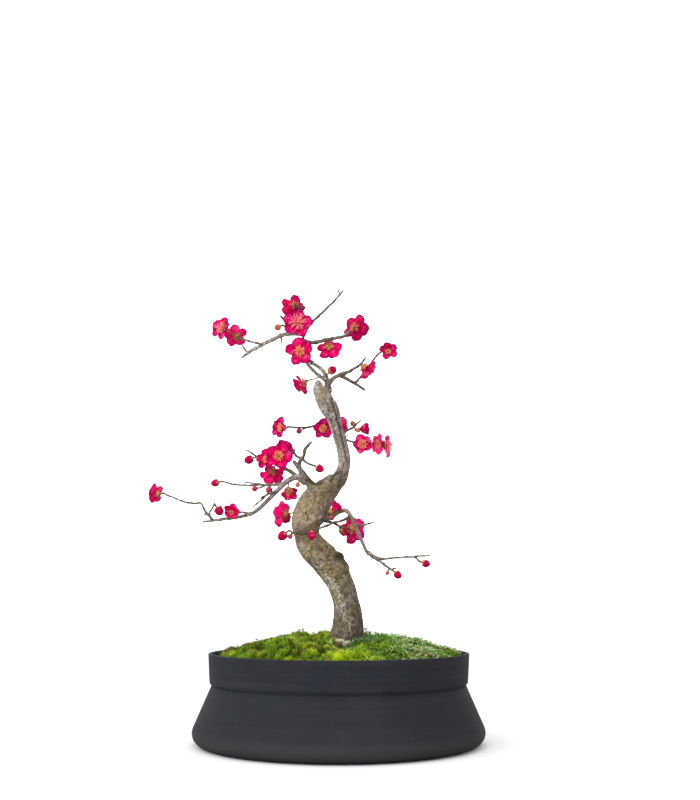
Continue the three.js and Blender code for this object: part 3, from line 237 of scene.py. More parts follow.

# Blooms: number; where the calyx opens; the way the face looks; width over the petals, cup and
# turn in degrees; start of the stalk; how magenta the petals are, their painted light and
# paleness, and how dull they are; how wine-red the calyx; length of the stamens, as a share of
# the bloom's radius, and how pink they are.
BLOOM_TABLE = table(19, """
    1  -100 -8 344.5  -0.55 -0.8 0.15  21 0.25 0  -87 -4 338  0.45 0.3 0 0 0.55 0.8
    2  -90 2 340.5  -0.35 0.8 0.45  20.5 0.25 10  -85 -3 336.8  0.25 0.95 0 0.45 0.45 0.4
    3  -40.5 12.5 372  -0.35 0.9 -0.2  23 0.2 40  -37.5 10 369.5  0.2 0.1 0.25 0.7 0.45 0.4
    4  -36.5 0 351.5  -0.05 -0.98 0.1  25.5 0.1 10  -32 14 358.5  0.35 0.1 0 0 0.62 0.9
    5  -34.5 -1 326  0 -1 0.05  24 0.12 27  -33 10 331.5  0.12 0.5 0 0 0.4 0.15
    6  -9.5 8 333.5  0 0.85 -0.5  22.5 0.2 18  -9.5 5 338.5  0.12 0.65 0 0 0.45 0.4
    7  13 7 350.5  0.3 0.93 -0.05  24.5 0.2 50  8.5 3 345  0.75 0.1 0.5 0.75 0.45 0.4
    8  42 5 327  0.1 -0.95 0.15  16.2 0.38 30  40 11 329.8  0.12 0.35 0 0 0.34 0.1
    9  20.5 -4.5 312.5  0.7 0.5 -0.5  20 0.35 36  15 -5 312  0.12 0.4 0.25 0 0.7 0.9
    10  -30.5 2 300  -0.75 0.5 -0.35  18 0.35 30  -16.3 0.7 304.8  0.35 0.4 0 0.7 0.45 0.4
    11  -49 11 261  -0.7 -0.68 0.05  18.5 0.3 0  -44.5 15.3 263  0.35 0.1 0 0 0.45 0.4
    12  -13.5 13 260  -0.25 -0.9 0.2  19.5 0.15 20  -13 19 264.7  0.9 0.1 0.55 0 0.36 0.1
    13  -2.5 22 265  0.45 0.88 0.1  20 0.15 0  -1 7 257  0.9 0.95 0 0.5 0.45 0.4
    14  16.6 10 259.5  0.85 -0.15 0.1  9.6 0.78 0  13 12 262.5  0.12 0.1 0 0 0.45 0.4
    15  20.5 5 246  -0.25 -0.95 0  17.5 0.2 36  19.5 12 247  0.3 0.1 0 0 0.5 0.8
    16  29.6 7 246.5  0.8 -0.58 -0.1  19.5 0.25 0  27 14 247.5  0.7 1.1 0 0 0.5 1
    17  39.6 14.5 246  0.93 -0.37 0  20 0.15 0  34 17.3 246.5  0.9 1.2 0 0 0.5 1
    18  -51.5 -7 234  0.08 -0.97 0.1  23.5 0.12 0  -50 0.3 226.8  0.12 0.55 0 0 0.38 0.3
    19  -62 -0.5 232  -0.35 -0.9 0.1  18 0.15 30  -62 4.2 233.5  0.12 0.3 0 0 0.3 0.6
    20  -57.5 3 222.5  -0.05 0.8 -0.6  21.5 0.25 0  -53.5 1.5 228.8  0.12 0.65 0 0.7 0.45 0.4
    21  -42.5 -5 205.5  0.05 0.85 -0.45  15 0.4 0  -43 -8.5 213  0.12 0.55 0.2 0 0.45 0.4
    22  -44.8 -8.5 185.5  -0.75 0.6 0.1  22.2 0.2 0  -33.5 -7 188  0.35 0.95 0 0.45 0.45 0.4
    23  -89.2 -19.5 185.5  0.15 -0.97 0.1  13.6 0.45 0  -83 -12 186.5  0.12 0.55 0 0 0.32 0.4
    24  -151 -17 201.5  -0.8 0.55 0.15  17 0.2 0  -145.6 -18 202  0.6 0.7 0 0.5 0.45 0.4
    25  -6 -16.5 187.5  0.72 -0.35 0.6  10 0.7 0  -7.5 -8 184.5  0.12 0.75 0.5 0 0.45 0.4
    26  10 11 174  0.35 0.93 -0.1  24 0.15 0  2.2 7 175  0.6 0.8 0.2 0 0.45 0.4
    27  -48 4 241  0.45 0.75 0.45  18 0.2 0  -42 -0.4 238.5  0.6 0.1 0 0 0.45 0.4""")
# Buds: number, middle, radius, start of the stalk.
BUDS = table(8, """
    2  -6.5 4 311  3.7  -12 2.3 306
    4  -77.5 3 232.5  3.7  -71 5 235.5
    5  -16.5 -9 223.5  3.4  -20 -8.8 225.4
    6  -106 3 212.5  3.2  -102 3 213.5
    9  -99 -22 187  3.7  -103 -22 192.5
    10  -47 -13 167  3.9  -43.2 -13 170.3
    12  -22.5 -21 167  3.4  -22.5 -19.8 172
    14  48 -25 134.7  3.1  44.6 -24 138
    16  71.8 -13 144.2  3.2  68 -13 145.2""")
# Buds still in their scales: middle, radius, start of the stalk, how much crimson they show.
SCALE_BUDS = table(8, """
    -54.5 8 350.5  3  -50.3 8 352.5  0.2
    -35.5 21 260  2.5  -28 21 263.6  0.8
    -71 -9 206.5  2.4  -68 -9 207.2  0.95
    -59 -8 205.5  3  -58.5 -5.2 210  1
    -40.5 -13 166.5  2.2  -39 -13 169  0.5
    -6 -14 182  2.4  -3 -11.8 185.6  0.45
    39.5 -24.2 136.3  1.7  40.2 -24 138.4  0.3
    11.6 10.4 265  2.4  12.6 12 262  0.15
    -35 -8 210  2.1  -33.5 -5.6 215  0.3
    1.5 4 172.5  2.2  0 7.6 176  0""")


# ---- camera and light

def into_scene(name, data):
    thing = bpy.data.objects.new(name, data)
    bpy.context.scene.collection.objects.link(thing)
    return thing


def make_camera():
    data = bpy.data.cameras.new("camera")
    data.lens = CAMERA.lens
    camera = into_scene("camera", data)
    camera.location = CAMERA.at
    camera.rotation_euler = (np.radians(90 + CAMERA.pitch), 0, 0)
    bpy.context.scene.camera = camera


def make_stage():
    """White surroundings, a plain floor that shows white, and a soft key light from the left."""
    world = bpy.data.worlds.new("studio")
    world.use_nodes = True
    world.node_tree.nodes["Background"].inputs["Color"].default_value = (1, 1, 1, 1)
    world.node_tree.nodes["Background"].inputs["Strength"].default_value = SURROUNDINGS
    bpy.context.scene.world = world
    bpy.context.scene.view_settings.view_transform = "Standard"
    data = bpy.data.lights.new("key", "AREA")
    data.size, data.energy = KEY.size, KEY.power
    light = into_scene("key", data)
    light.location = KEY.at
    aim = Vector(KEY.towards) - Vector(KEY.at)
    light.rotation_euler = aim.to_track_quat("-Z", "Y").to_euler()
    paint = Paint("floor", 1.0)
    paint.shader.inputs["Base Color"].default_value = (FLOOR.grey, FLOOR.grey, FLOOR.grey, 1)
    floor = Skin()
    floor.add(circle(FLOOR.sides, FLOOR.radius, -FLOOR.drop), [fan(FLOOR.sides)])
    show("floor", floor.mesh("floor"), paint.material)


# ---- meshes

class Skin:
    """Corners, faces and per-corner values of one mesh, gathered shape by shape."""

    def __init__(self):
        self.points, self.faces, self.values, self.count = [], [], {}, 0

    def add(self, points, faces, **values):
        """faces is a list of index arrays, each with rows of one length."""
        points = np.asarray(points, float).reshape(-1, 3)
        self.points.append(points)
        self.faces += [np.asarray(block, int) + self.count for block in faces]
        for name, value in values.items():
            value = np.asarray(value, float).ravel()
            self.values.setdefault(name, []).append(np.broadcast_to(value, len(points)))
        self.count += len(points)

    def mesh(self, name):
        data = bpy.data.meshes.new(name)
        faces = [face for block in self.faces for face in block.tolist()]
        data.from_pydata(np.concatenate(self.points) * MM, [], faces)
        for key, parts in self.values.items():
            store(data, key, np.concatenate(parts))
        data.shade_smooth()
        data.update()
        return data

    def piece(self, name, material, slot, *nodes):
        """Hands the finished mesh to the frame; nodes are the CAD solids it stands for."""
        settle(show(name, self.mesh(name), material), slot, *nodes)


def store(data, key, value):
    """Keeps a number for each corner of a mesh, for its material to read."""
    layer = data.attributes.new(key, "FLOAT", "POINT")
    layer.data.foreach_set("value", value.astype(np.float32))


def show(name, data, *materials):
    for material in materials:
        data.materials.append(material)
    return into_scene(name, data)


def settle(piece, slot, *nodes):
    """Hangs a finished piece under the root body and hides the CAD nodes it stands for; the slot
    is not used.
    """
    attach(piece, "root")
    if nodes:
        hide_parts(*nodes)


def finished(piece):
    """The mesh that a piece's modifiers make of it; the piece itself goes."""
    graph = bpy.context.evaluated_depsgraph_get()
    data = bpy.data.meshes.new_from_object(piece.evaluated_get(graph))
    bpy.data.objects.remove(piece)
    return data


def clipped(value):
    return np.clip(value, 0, 1)


def bell(away):
    """1 at the middle, and falling off to nothing on all sides."""
    return np.exp(-away ** 2)


def unit(vectors):
    return vectors / np.linalg.norm(vectors, axis=-1, keepdims=True)


def running(steps):
    """How far along one is before the first step and after each."""
    return np.append(0, np.cumsum(steps))


def polar(r, angle, *rest):
    """Points at a distance and an angle round Z, then their height and what else is given."""
    return np.stack(np.broadcast_arrays(r * np.cos(angle), r * np.sin(angle), *rest), -1)


def turns(sides):
    return 2 * np.pi * np.arange(sides) / sides


def circle(sides, radius, z=0.0):
    return polar(radius, turns(sides), z)


def fan(sides, start=0, flip=False):
    """Triangles that close a ring of corners from its first corner."""
    middle = np.arange(1, sides - 1)
    faces = np.stack([np.zeros_like(middle), middle, middle + 1], 1) + start
    return faces[:, ::-1] if flip else faces


def quads(rows, sides, closed=True):
    """Quads between rows of corners; closed joins each row's ends."""
    r, s = np.indices((rows - 1, sides if closed else sides - 1))
    a = r * sides + s
    b = r * sides + (s + 1) % sides
    return np.stack([a, b, b + sides, a + sides], -1).reshape(-1, 4)


def capped(rows, sides):
    """Faces of rings of corners, with the first and the last ring shut."""
    return [quads(rows, sides), fan(sides, 0, flip=True), fan(sides, (rows - 1) * sides)]


def lathe(profile, sides):
    """Points and faces of a profile of (radius, height) turned round Z, its two ends shut."""
    points = np.concatenate([circle(sides, r, z) for r, z in profile])
    return points, capped(len(profile), sides)


def plate(top, thickness):
    """Closed plate from a grid of points (rows, columns, 3), with a thickness behind it.

    Its front looks the way rows x columns does; below zero, the thickness is in front.
    """
    rows, columns, _ = top.shape
    along, across = np.gradient(top, axis=0), np.gradient(top, axis=1)
    normal = np.cross(along, across)
    normal /= np.linalg.norm(normal, axis=2, keepdims=True) + 1e-9
    points = np.concatenate([top.reshape(-1, 3), (top - normal * thickness).reshape(-1, 3)])
    count = rows * columns
    upper = quads(rows, columns, closed=False)[:, ::-1]
    index = np.arange(count).reshape(rows, columns)
    rim = np.concatenate([index[0], index[1:, -1], index[-1, -2::-1], index[-2:0:-1, 0]])
    after = np.roll(rim, -1)
    faces = [upper, upper[:, ::-1] + count, np.stack([rim, after, after + count, rim + count], 1)]
    if thickness < 0:
        faces = [block[:, ::-1] for block in faces]
    return points, faces, np.repeat([0.0, 1.0], count)


def both(value, grid):
    """A value at a grid's corners, for the front and the back of its plate."""
    return np.tile(np.broadcast_to(value, grid.shape[:2]).ravel(), 2)


def leaf_axes(rows, columns):
    """Along a leaf from 0 to 1, and across it from -1 to 1, closer at the edges."""
    across = np.sin(np.linspace(-1, 1, columns) * np.pi / 2)
    return np.linspace(0, 1, rows)[:, None], across[None, :]


def smooth_path(stations, spacing):
    """Stations [x, y, z, radius] joined by a smooth curve, sampled at about that spacing."""
    steps = np.linalg.norm(np.diff(stations[:, :3], axis=0), axis=1)
    knots = running(steps)
    slopes = np.gradient(stations, knots, axis=0)
    count = max(3, int(np.ceil(knots[-1] / spacing)) + 1)
    at = np.linspace(0, knots[-1], count)
    i = np.clip(np.searchsorted(knots, at, side="right") - 1, 0, len(knots) - 2)
    h = (knots[i + 1] - knots[i])[:, None]
    t = (at - knots[i])[:, None] / h
    path = ((2 * t**3 - 3 * t**2 + 1) * stations[i] + (t**3 - 2 * t**2 + t) * h * slopes[i]
            + (3 * t**2 - 2 * t**3) * stations[i + 1] + (t**3 - t**2) * h * slopes[i + 1])
    return path, at


def frames(centres):
    """Unit vectors along a path and two across it, carried along without twist."""
    along = unit(np.gradient(centres, axis=0))
    side = np.array([0.0, 1, 0]) if abs(along[0, 1]) < 0.9 else np.array([1.0, 0, 0])
    sides = []
    for direction in along:
        side = unit(side - direction * (side @ direction))
        sides.append(side)
    sides = np.array(sides)
    return along, sides, np.cross(along, sides)


def tube(path, sides, relief=None):
    """Closed round-tipped skin along a path of [x, y, z, radius]."""
    last, direction = path[-1], unit(path[-1, :3] - path[-2, :3])
    tip = [np.append(last[:3] + direction * last[3] * np.sin(a), last[3] * np.cos(a))
           for a in TIP_STEPS]
    path = np.concatenate([path, tip])
    _, side, across = frames(path[:, :3])
    angles = turns(sides)
    radius = path[:, 3][:, None] * np.ones(sides)
    if relief is not None:
        radius *= relief(np.arange(len(path))[:, None], angles[None, :])
    points = (path[:, None, :3] + radius[..., None] * (
        side[:, None] * np.cos(angles)[None, :, None]
        + across[:, None] * np.sin(angles)[None, :, None]))
    return points.reshape(-1, 3), capped(len(path), sides)


def bead(at, axes, radii, rows=5, sides=7):
    """A small ellipsoid."""
    angles = np.linspace(-np.pi / 2, np.pi / 2, rows + 2)[1:-1]
    points, faces = lathe([(np.cos(a), np.sin(a)) for a in angles], sides)
    return placed(points * radii, axes, at), faces


def basis(faces, turn=0.0):
    """Columns are the axes of a bloom's own frame, as in the CAD part: +Z is where it faces."""
    out = unit(faces)
    level = np.array([-out[1], out[0], 0])
    level = unit(level) if level @ level > 0.01 else np.array([1.0, 0, 0])
    up = np.cross(out, level)
    c, s = np.cos(np.radians(turn)), np.sin(np.radians(turn))
    return np.stack([level * c + up * s, up * c - level * s, out], 1)


def placed(points, axes, at):
    """Points drawn in a frame of their own, in the scene."""
    return points @ axes.T + at


def noise_at(points, size, seed=0.0):
    """Smooth noise from -1 to 1 at points in mm, with bumps of about that size."""
    return np.array([noise.noise(point) for point in points / size + seed])


# ---- materials

def rgb(red, green, blue):
    """Surface colour that looks like these sRGB numbers, up to 255, in this scene's light."""
    c = np.array([red, green, blue]) / 255
    linear = np.where(c <= 0.04045, c / 12.92, ((c + 0.055) / 1.055) ** 2.4)
    return (*linear / LIT, 1.0)


class Paint:
    """A Principled material and short ways to add nodes to it."""

    def __init__(self, name, roughness, specular=0.5):
        self.material = bpy.data.materials.new(name)
        self.material.use_nodes = True
        self.nodes = self.material.node_tree.nodes
        self.links = self.material.node_tree.links
        self.shader = self.nodes["Principled BSDF"]
        self.shader.inputs["Roughness"].default_value = roughness
        self.shader.inputs["Specular IOR Level"].default_value = specular
        self.where = self.node("TexCoord", "Object", {})

    def node(self, kind, output, inputs, **settings):
        """An output of a new node; each input is a number, a vector or another node's output."""
        node = self.nodes.new("ShaderNode" + kind)
        for name, value in settings.items():
            setattr(node, name, value)
        for key, value in inputs.items():
            if isinstance(value, bpy.types.NodeSocket):
                self.links.new(value, node.inputs[key])
            else:
                node.inputs[key].default_value = value
        return node.outputs[output]

    def value(self, name):
        return self.node("Attribute", "Fac", {}, attribute_name=name)

    def axis(self, name):
        return self.node("SeparateXYZ", name, {"Vector": self.where})

    def stretched(self, scale):
        return self.node("Mapping", "Vector", {"Vector": self.where, "Scale": scale})

    def noise(self, scale, detail=4.0, rough=0.55, where=None):
        return self.node("TexNoise", "Fac", {"Vector": where or self.where, "Scale": scale,
                                             "Detail": detail, "Roughness": rough})

    def mask(self, source, low, high):
        """From 0 to 1 as the source goes from low to high."""
        return self.node("MapRange", "Result",
                         {"Value": source, "From Min": low, "From Max": high})

    def math(self, operation, *values):
        return self.node("Math", "Value", dict(enumerate(values)), operation=operation)

    def mix(self, factor, a, b):
        return self.node("Mix", 2, {"Factor": factor, 6: a, 7: b}, data_type="RGBA")

    def ramp(self, source, places, *colours):
        """Colours by a value: where they are, and their red, green and blue."""
        node = self.nodes.new("ShaderNodeValToRGB")
        elements = node.color_ramp.elements
        while len(elements) < len(places):
            elements.new(0.5)
        for element, place, colour in zip(elements, places, colours, strict=True):
            element.position, element.color = place, rgb(*colour)
        self.links.new(source, node.inputs["Fac"])
        return node.outputs["Color"]

    def tint(self, base, colour, factor, share=None):
        """A colour laid over a base, as far as a factor says, at a share of its strength."""
        factor = factor if share is None else self.math("MULTIPLY", factor, share)
        return self.mix(factor, base, rgb(*colour))

    def through(self, source, first, middle, last):
        """Three colours, one going over into the next as the source goes from 0 to 1."""
        half = self.mix(self.mask(source, 0, 0.5), first, middle)
        return self.mix(self.mask(source, 0.5, 1), half, last)

    def rough(self, source, low, high):
        rough = self.node("MapRange", "Result", {"Value": source, "To Min": low, "To Max": high})
        self.links.new(rough, self.shader.inputs["Roughness"])

    def bump(self, height, distance, strength=1.0):
        normal = self.node("Bump", "Normal", {"Strength": strength, "Distance": distance * MM,
                                              "Height": height})
        self.links.new(normal, self.shader.inputs["Normal"])

    def done(self, colour):
        self.links.new(colour, self.shader.inputs["Base Color"])
        return self.material


def stoneware():
    """Matt charcoal clay with wheel rings and fine pores: a band, a duller flare and foot, with
    painted light low on the flare and painted shade at both sides and at the foot.
    """
    paint = Paint("stoneware", 0.62, 0.05)
    rings = paint.noise(1.0, 3, where=paint.stretched((7, 7, 300)))
    mottle, grain = paint.noise(26, 5, 0.6), paint.noise(1500, 2)
    height, side = paint.axis("Z"), paint.axis("X")
    body = paint.ramp(paint.mix(0.5, mottle, rings), (0.34, 0.5, 0.68),
                      (36, 39, 44), (44, 46, 51), (53, 55, 60))
    body = paint.tint(body, (41, 47, 54), paint.mask(paint.noise(60, 2), 0.58, 0.75))
    for colour, share, source, low, high in (
            ((56, 58, 62), None, grain, 0.64, 0.76),  # fine pores
            ((46, 47, 49), 0.35, height, 0.047, 0.044),  # the flare
            ((78, 79, 80), 0.4, height, 0.016, 0.009),  # painted light on its lower edge
            ((22, 24, 27), 0.42, side, 0.03, 0.11),  # painted shade at both sides, more at the right
            ((22, 24, 27), 0.24, side, -0.03, -0.11),
            ((8, 9, 10), 0.4, height, 0.004, 0.001)):  # painted shade at the foot, where it meets the floor
        body = paint.tint(body, colour, paint.mask(source, low, high), share)
    paint.rough(mottle, 0.66, 0.88)
    paint.bump(paint.mix(0.5, grain, rings), 0.12, 0.35)
    return paint.done(body)


def speckled(name, roughness, noise_scale, detail, places, colours, distance, strength=1.0):
    """A plain material whose colour and bump follow one noise."""
    paint = Paint(name, roughness)
    speckle = paint.noise(noise_scale, detail)
    paint.bump(speckle, distance, strength)
    return paint.done(paint.ramp(speckle, places, *colours))


def bark_material():
    """Bark from dark to light by "tone": brown, or lilac-grey, olive and red-brown by zone."""
    paint = Paint("bark", 0.85, 0.2)
    fine = paint.noise(900, 4, 0.6)
    grain = paint.math("MULTIPLY", paint.math("SUBTRACT", fine, 0.5), 0.7)
    tone = paint.math("ADD", paint.value("tone"), grain)
    places = (0.05, 0.35, 0.6, 0.9)
    bark = paint.ramp(tone, places, (66, 54, 40), (108, 95, 74), (146, 131, 106), (194, 180, 156))
    for key, colours in (
            ("pale", ((72, 60, 58), (116, 103, 99), (156, 143, 138), (212, 203, 199))),
            ("green", ((44, 44, 22), (96, 90, 50), (138, 130, 82), (182, 174, 126))),
            ("rust", ((66, 40, 30), (118, 86, 66), (156, 124, 98), (198, 172, 146)))):
        bark = paint.mix(paint.value(key), bark, paint.ramp(tone, places, *colours))
    paint.rough(fine, 0.72, 0.95)
    paint.bump(paint.math("ADD", fine, paint.noise(300, 4)), 0.35, 0.6)
    return paint.done(paint.tint(bark, (34, 27, 22), paint.value("crack")))


def petal_material():
    """Crimson petals: veins, a redder heart, mauve rims that are partly painted shade, duller
    backs, painted highlights in patches, and painted light and paleness by bloom.
    """
    paint = Paint("petal", 0.5, 0.01)
    out, glow = paint.value("out"), paint.value("glow")
    wave = paint.math("SINE", paint.math("MULTIPLY", paint.value("across"), 46.0))
    crimson = paint.ramp(out, (0.1, 0.36, 0.7, 0.9),
                         (150, 0, 24), (230, 0, 68), (252, 0, 110), (250, 4, 130))
    purple = paint.ramp(out, (0.1, 0.45, 0.85), (124, 2, 36), (208, 4, 94), (232, 20, 152))
    petal = paint.mix(paint.value("mauve"), crimson, purple)
    # Painted highlights in pale pink patches, a little more where a bloom gets more painted light.
    patches = paint.math("ADD", paint.noise(260, 3), paint.math("MULTIPLY", glow, 0.05))
    for colour, share, factor in (
            ((214, 2, 80), 0.45, paint.value("back")),
            # Darker mauve rims: partly the petals' own colour, partly painted shade where they
            # overlap.
            ((130, 0, 66), 0.75, paint.mask(paint.value("rim"), 0.74, 0.97)),
            ((150, 0, 54), 0.3, paint.mask(wave, 0.5, 1.0)),
            # Painted light by bloom, then a paler pink for the blooms that get most of it.
            ((340, 6, 146), 0.75, paint.mask(glow, 0.45, 1.3)),
            ((280, 130, 210), 0.5, paint.mask(glow, 0.95, 1.35)),
            ((275, 112, 190), 0.58, paint.mask(patches, 0.56, 0.72)),
            ((158, 0, 44), 0.65, paint.value("shade"))):
        petal = paint.tint(petal, colour, factor, share)
    paint.bump(wave, 0.06, 0.5)
    return paint.done(petal)


def stamen_material():
    """Filaments golden to pink, by the bloom, with golden anthers at their ends."""
    paint = Paint("stamen", 0.5, 0.1)
    out = paint.value("out")
    gold = paint.ramp(out, (0, 0.3, 0.5, 0.85),
                      (244, 164, 40), (280, 180, 76), (310, 206, 140), (310, 206, 160))
    pink = paint.ramp(out, (0, 0.25, 0.5, 0.85),
                      (250, 170, 70), (300, 190, 140), (310, 150, 190), (310, 176, 214))
    anther = paint.ramp(paint.noise(1500, 2), (0.35, 0.65), (262, 176, 90), (300, 222, 140))
    line = paint.mix(paint.value("blush"), gold, pink)
    return paint.done(paint.mix(paint.mask(out, 0.9, 0.92), line, anther))


def calyx_material():
    """Sepals wine-brown with gold and olive: the value "out" runs from stalk to sepal tip."""
    paint = Paint("calyx", 0.6, 0.12)
    patch = paint.noise(420, 4)
    calyx = paint.ramp(paint.value("out"), (0, 0.25, 0.5, 0.75, 1), (72, 56, 40), (132, 100, 44),
                       (214, 138, 80), (216, 104, 76), (146, 32, 50))
    calyx = paint.tint(calyx, (252, 204, 128), paint.mask(patch, 0.5, 0.66), 0.7)
    paint.bump(patch, 0.15, 0.6)
    return paint.done(paint.tint(calyx, (184, 44, 74), paint.value("crimson")))


def moss_material():
    """Moss from dark roots, partly painted shade among the leaves, to bright tips;
    "hue" runs from olive over green to yellow.
    """
    paint = Paint("moss", 0.85, 0.03)
    grain = paint.math("MULTIPLY", paint.noise(500, 3), 0.3)
    tone = paint.math("ADD", paint.value("tip"), grain)
    moss = paint.through(paint.value("hue"), *(
        paint.ramp(tone, (0.1, 0.5, 0.85, 1), *colours) for colours in (
            ((22, 24, 2), (74, 84, 8), (142, 142, 44), (180, 178, 104)),
            ((16, 34, 2), (82, 122, 10), (154, 194, 44), (198, 224, 108)),
            ((38, 56, 0), (134, 166, 6), (208, 226, 44), (236, 242, 116)))))
    return paint.done(paint.tint(moss, (132, 98, 60), paint.value("dry")))


def grass_material():
    """Blades from blue-green over fresh green to straw, by "hue"."""
    paint = Paint("grass", 0.6, 0.06)
    tip = paint.value("tip")
    dark = paint.ramp(tip, (0, 0.6, 1), (14, 32, 22), (44, 82, 56), (104, 146, 108))
    fresh = paint.ramp(tip, (0, 0.6, 1), (30, 70, 6), (118, 186, 40), (190, 240, 110))
    straw = paint.ramp(tip, (0, 0.5, 1), (92, 120, 44), (220, 228, 168), (280, 280, 256))
    return paint.done(paint.through(paint.value("hue"), dark, fresh, straw))


# ---- pot

def arc(centre, radius, start, end, steps):
    angles = np.radians(np.linspace(start, end, steps))
    return [(centre[0] + radius * np.cos(a), centre[1] + radius * np.sin(a)) for a in angles]


def pot_profile():
    """Outside from the middle of the underside up to the rim, then down the inside."""
    waist, height = POT.waist_radius, POT.waist_height
    band_radius, top = POT.band_radius, POT.height
    foot = arc((POT.base_radius - POT.fillet, POT.fillet), POT.fillet, -90, POT.fillet_end, 14)
    start, end = np.array(foot[-1]), np.array([waist + 0.2, height - 0.9])
    flare = [tuple(start + (end - start) * t) for t in np.linspace(0.04, 1, 12)]
    groove = [(waist - 0.1, height - 0.35), (waist - POT.groove, height + 0.1),
              (waist - 0.2, height + 0.7), (band_radius - 0.6, height + 1.8),
              (band_radius - 0.15, height + 3.2), (band_radius, height + 5)]
    band = [(band_radius + (POT.rim_radius - band_radius) * t, height + 5 + (top - 6 - height) * t)
            for t in np.linspace(0.15, 1, 6)]
    edge = POT.edge
    rim = arc((POT.rim_radius - edge, top - edge), edge, 0, 90, 5)
    lip = arc((POT.rim_radius - POT.rim_wall + edge, top - edge), edge, 90, 180, 5)
    return [(12, 0), (60, 0), *foot, *flare, *groove, *band, *rim, *lip, *POT.inside,
            (60, POT.floor), (12, POT.floor)]


def make_pot():
    body, drains = Skin(), Skin()
    body.add(*lathe(pot_profile(), POT.sides))
    for x in (-POT.hole_circle, POT.hole_circle):
        points, faces = lathe([(POT.hole_radius, z) for z in (-2, POT.floor + 2)], 48)
        drains.add(points + [x, 0, 0], faces)
    pot = show("rough pot", body.mesh("pot"), stoneware())
    cutter = show("drains", drains.mesh("drains"))
    cut = pot.modifiers.new("drain_holes", "BOOLEAN")
    cut.operation, cut.object, cut.solver = "DIFFERENCE", cutter, "EXACT"
    bored = finished(pot)
    bpy.data.objects.remove(cutter)
    bored.set_sharp_from_angle(angle=np.radians(40))
    settle(show("stoneware_pot", bored), "pot", "pot")


# ---- trunk and twigs

def near_line(points, line):
    """Distance of each point from a line of straight stretches."""
    best = np.full(len(points), np.inf)
    for a, b in zip(line[:-1], line[1:], strict=True):
        span = b - a
        t = clipped((points - a) @ span / (span @ span))
        best = np.minimum(best, np.linalg.norm(points - (a + t[:, None] * span), axis=1))
    return best


def bark_coordinates(points, limbs):
    """Each point as (side, across, along) of its nearest limb, for bark that runs along it."""
    centres, ways, starts = [], [], []
    for number, stations in enumerate(limbs):
        path, at = smooth_path(stations, WOOD.bark_step)
        along, side, across = frames(path[:, :3])
        centres.append(path[:, :3])
        ways.append(np.stack([side, across, along], 1))
        starts.append(at + WOOD.limb_gap * number)
    centres, ways, starts = map(np.concatenate, (centres, ways, starts))
    tree = kdtree.KDTree(len(centres))
    for i, centre in enumerate(centres):
        tree.insert(centre, i)
    tree.balance()
    nearest = np.array([tree.find(point)[1] for point in points])
    local = np.einsum("nij,nj->ni", ways[nearest], points - centres[nearest])
    local[:, 2] += starts[nearest]
    return local, (starts[nearest] // WOOD.limb_gap).astype(int)


def trunk_relief(rings, angles):
    """Shallow flutes that wind up the trunk, as shares of its radius."""
    return 1 + 0.035 * np.sin(3 * angles + 0.16 * rings) + 0.02 * np.sin(5 * angles - 0.27 * rings)


def grown_together(limbs):
    """The trunk, with its roots and thick limbs grown into it: mesh, corners, normals."""
    rough = Skin()
    path, _ = smooth_path(limbs[0], WOOD.trunk_step)
    rough.add(*tube(path, WOOD.trunk_sides, trunk_relief))
    for stations in limbs[1:]:
        path, _ = smooth_path(stations, WOOD.limb_step)
        rough.add(*tube(path, WOOD.limb_sides))
    piece = show("rough", rough.mesh("rough"))
    remesh = piece.modifiers.new("remesh", "REMESH")
    remesh.mode, remesh.voxel_size = "VOXEL", WOOD.voxel * MM
    smooth = piece.modifiers.new("smooth", "SMOOTH")
    smooth.factor, smooth.iterations = 0.5, 4
    data = finished(piece)
    points, normals = np.empty((2, len(data.vertices) * 3), np.float32)
    data.vertices.foreach_get("co", points)
    data.vertex_normals.foreach_get("vector", normals)
    return data, points.reshape(-1, 3).astype(float) / MM, normals.reshape(-1, 3).astype(float)


def carve_marks(points, front, flat, push, tone, crack):
    """Fissures, knots and the old cut, written into push, tone and crack. Gives the ridge."""
    # crack darkens the bark as painted shade in the fissures, in the knots' pits and in the old
    # cut.
    for width, depth, line in FISSURES:
        cut = front * clipped(1 - near_line(flat, table(2, line)) / (1.7 * width))
        push -= depth * cut ** 1.2
        np.maximum(crack, 0.9 * cut ** 0.8, out=crack)
    ridge = front * bell(near_line(flat, RIDGE) / 3.6)
    push += 0.45 * ridge
    for *at, radius, height in KNOTS:
        away = np.linalg.norm(flat - at, axis=1) / radius
        collar = front * bell((away - 1) / 0.35)
        pit = front * bell(away / 0.5)
        push += height * (collar - 1.2 * pit)
        tone += 0.16 * collar
        np.maximum(crack, 0.45 * pit, out=crack)
    for at, size, depth, dark in OLD_CUT:
        away = np.linalg.norm((points - at) / size, axis=1)
        push -= depth * bell(away / 0.8)
        np.maximum(crack, dark * np.exp(-away ** 4), out=crack)
    return ridge


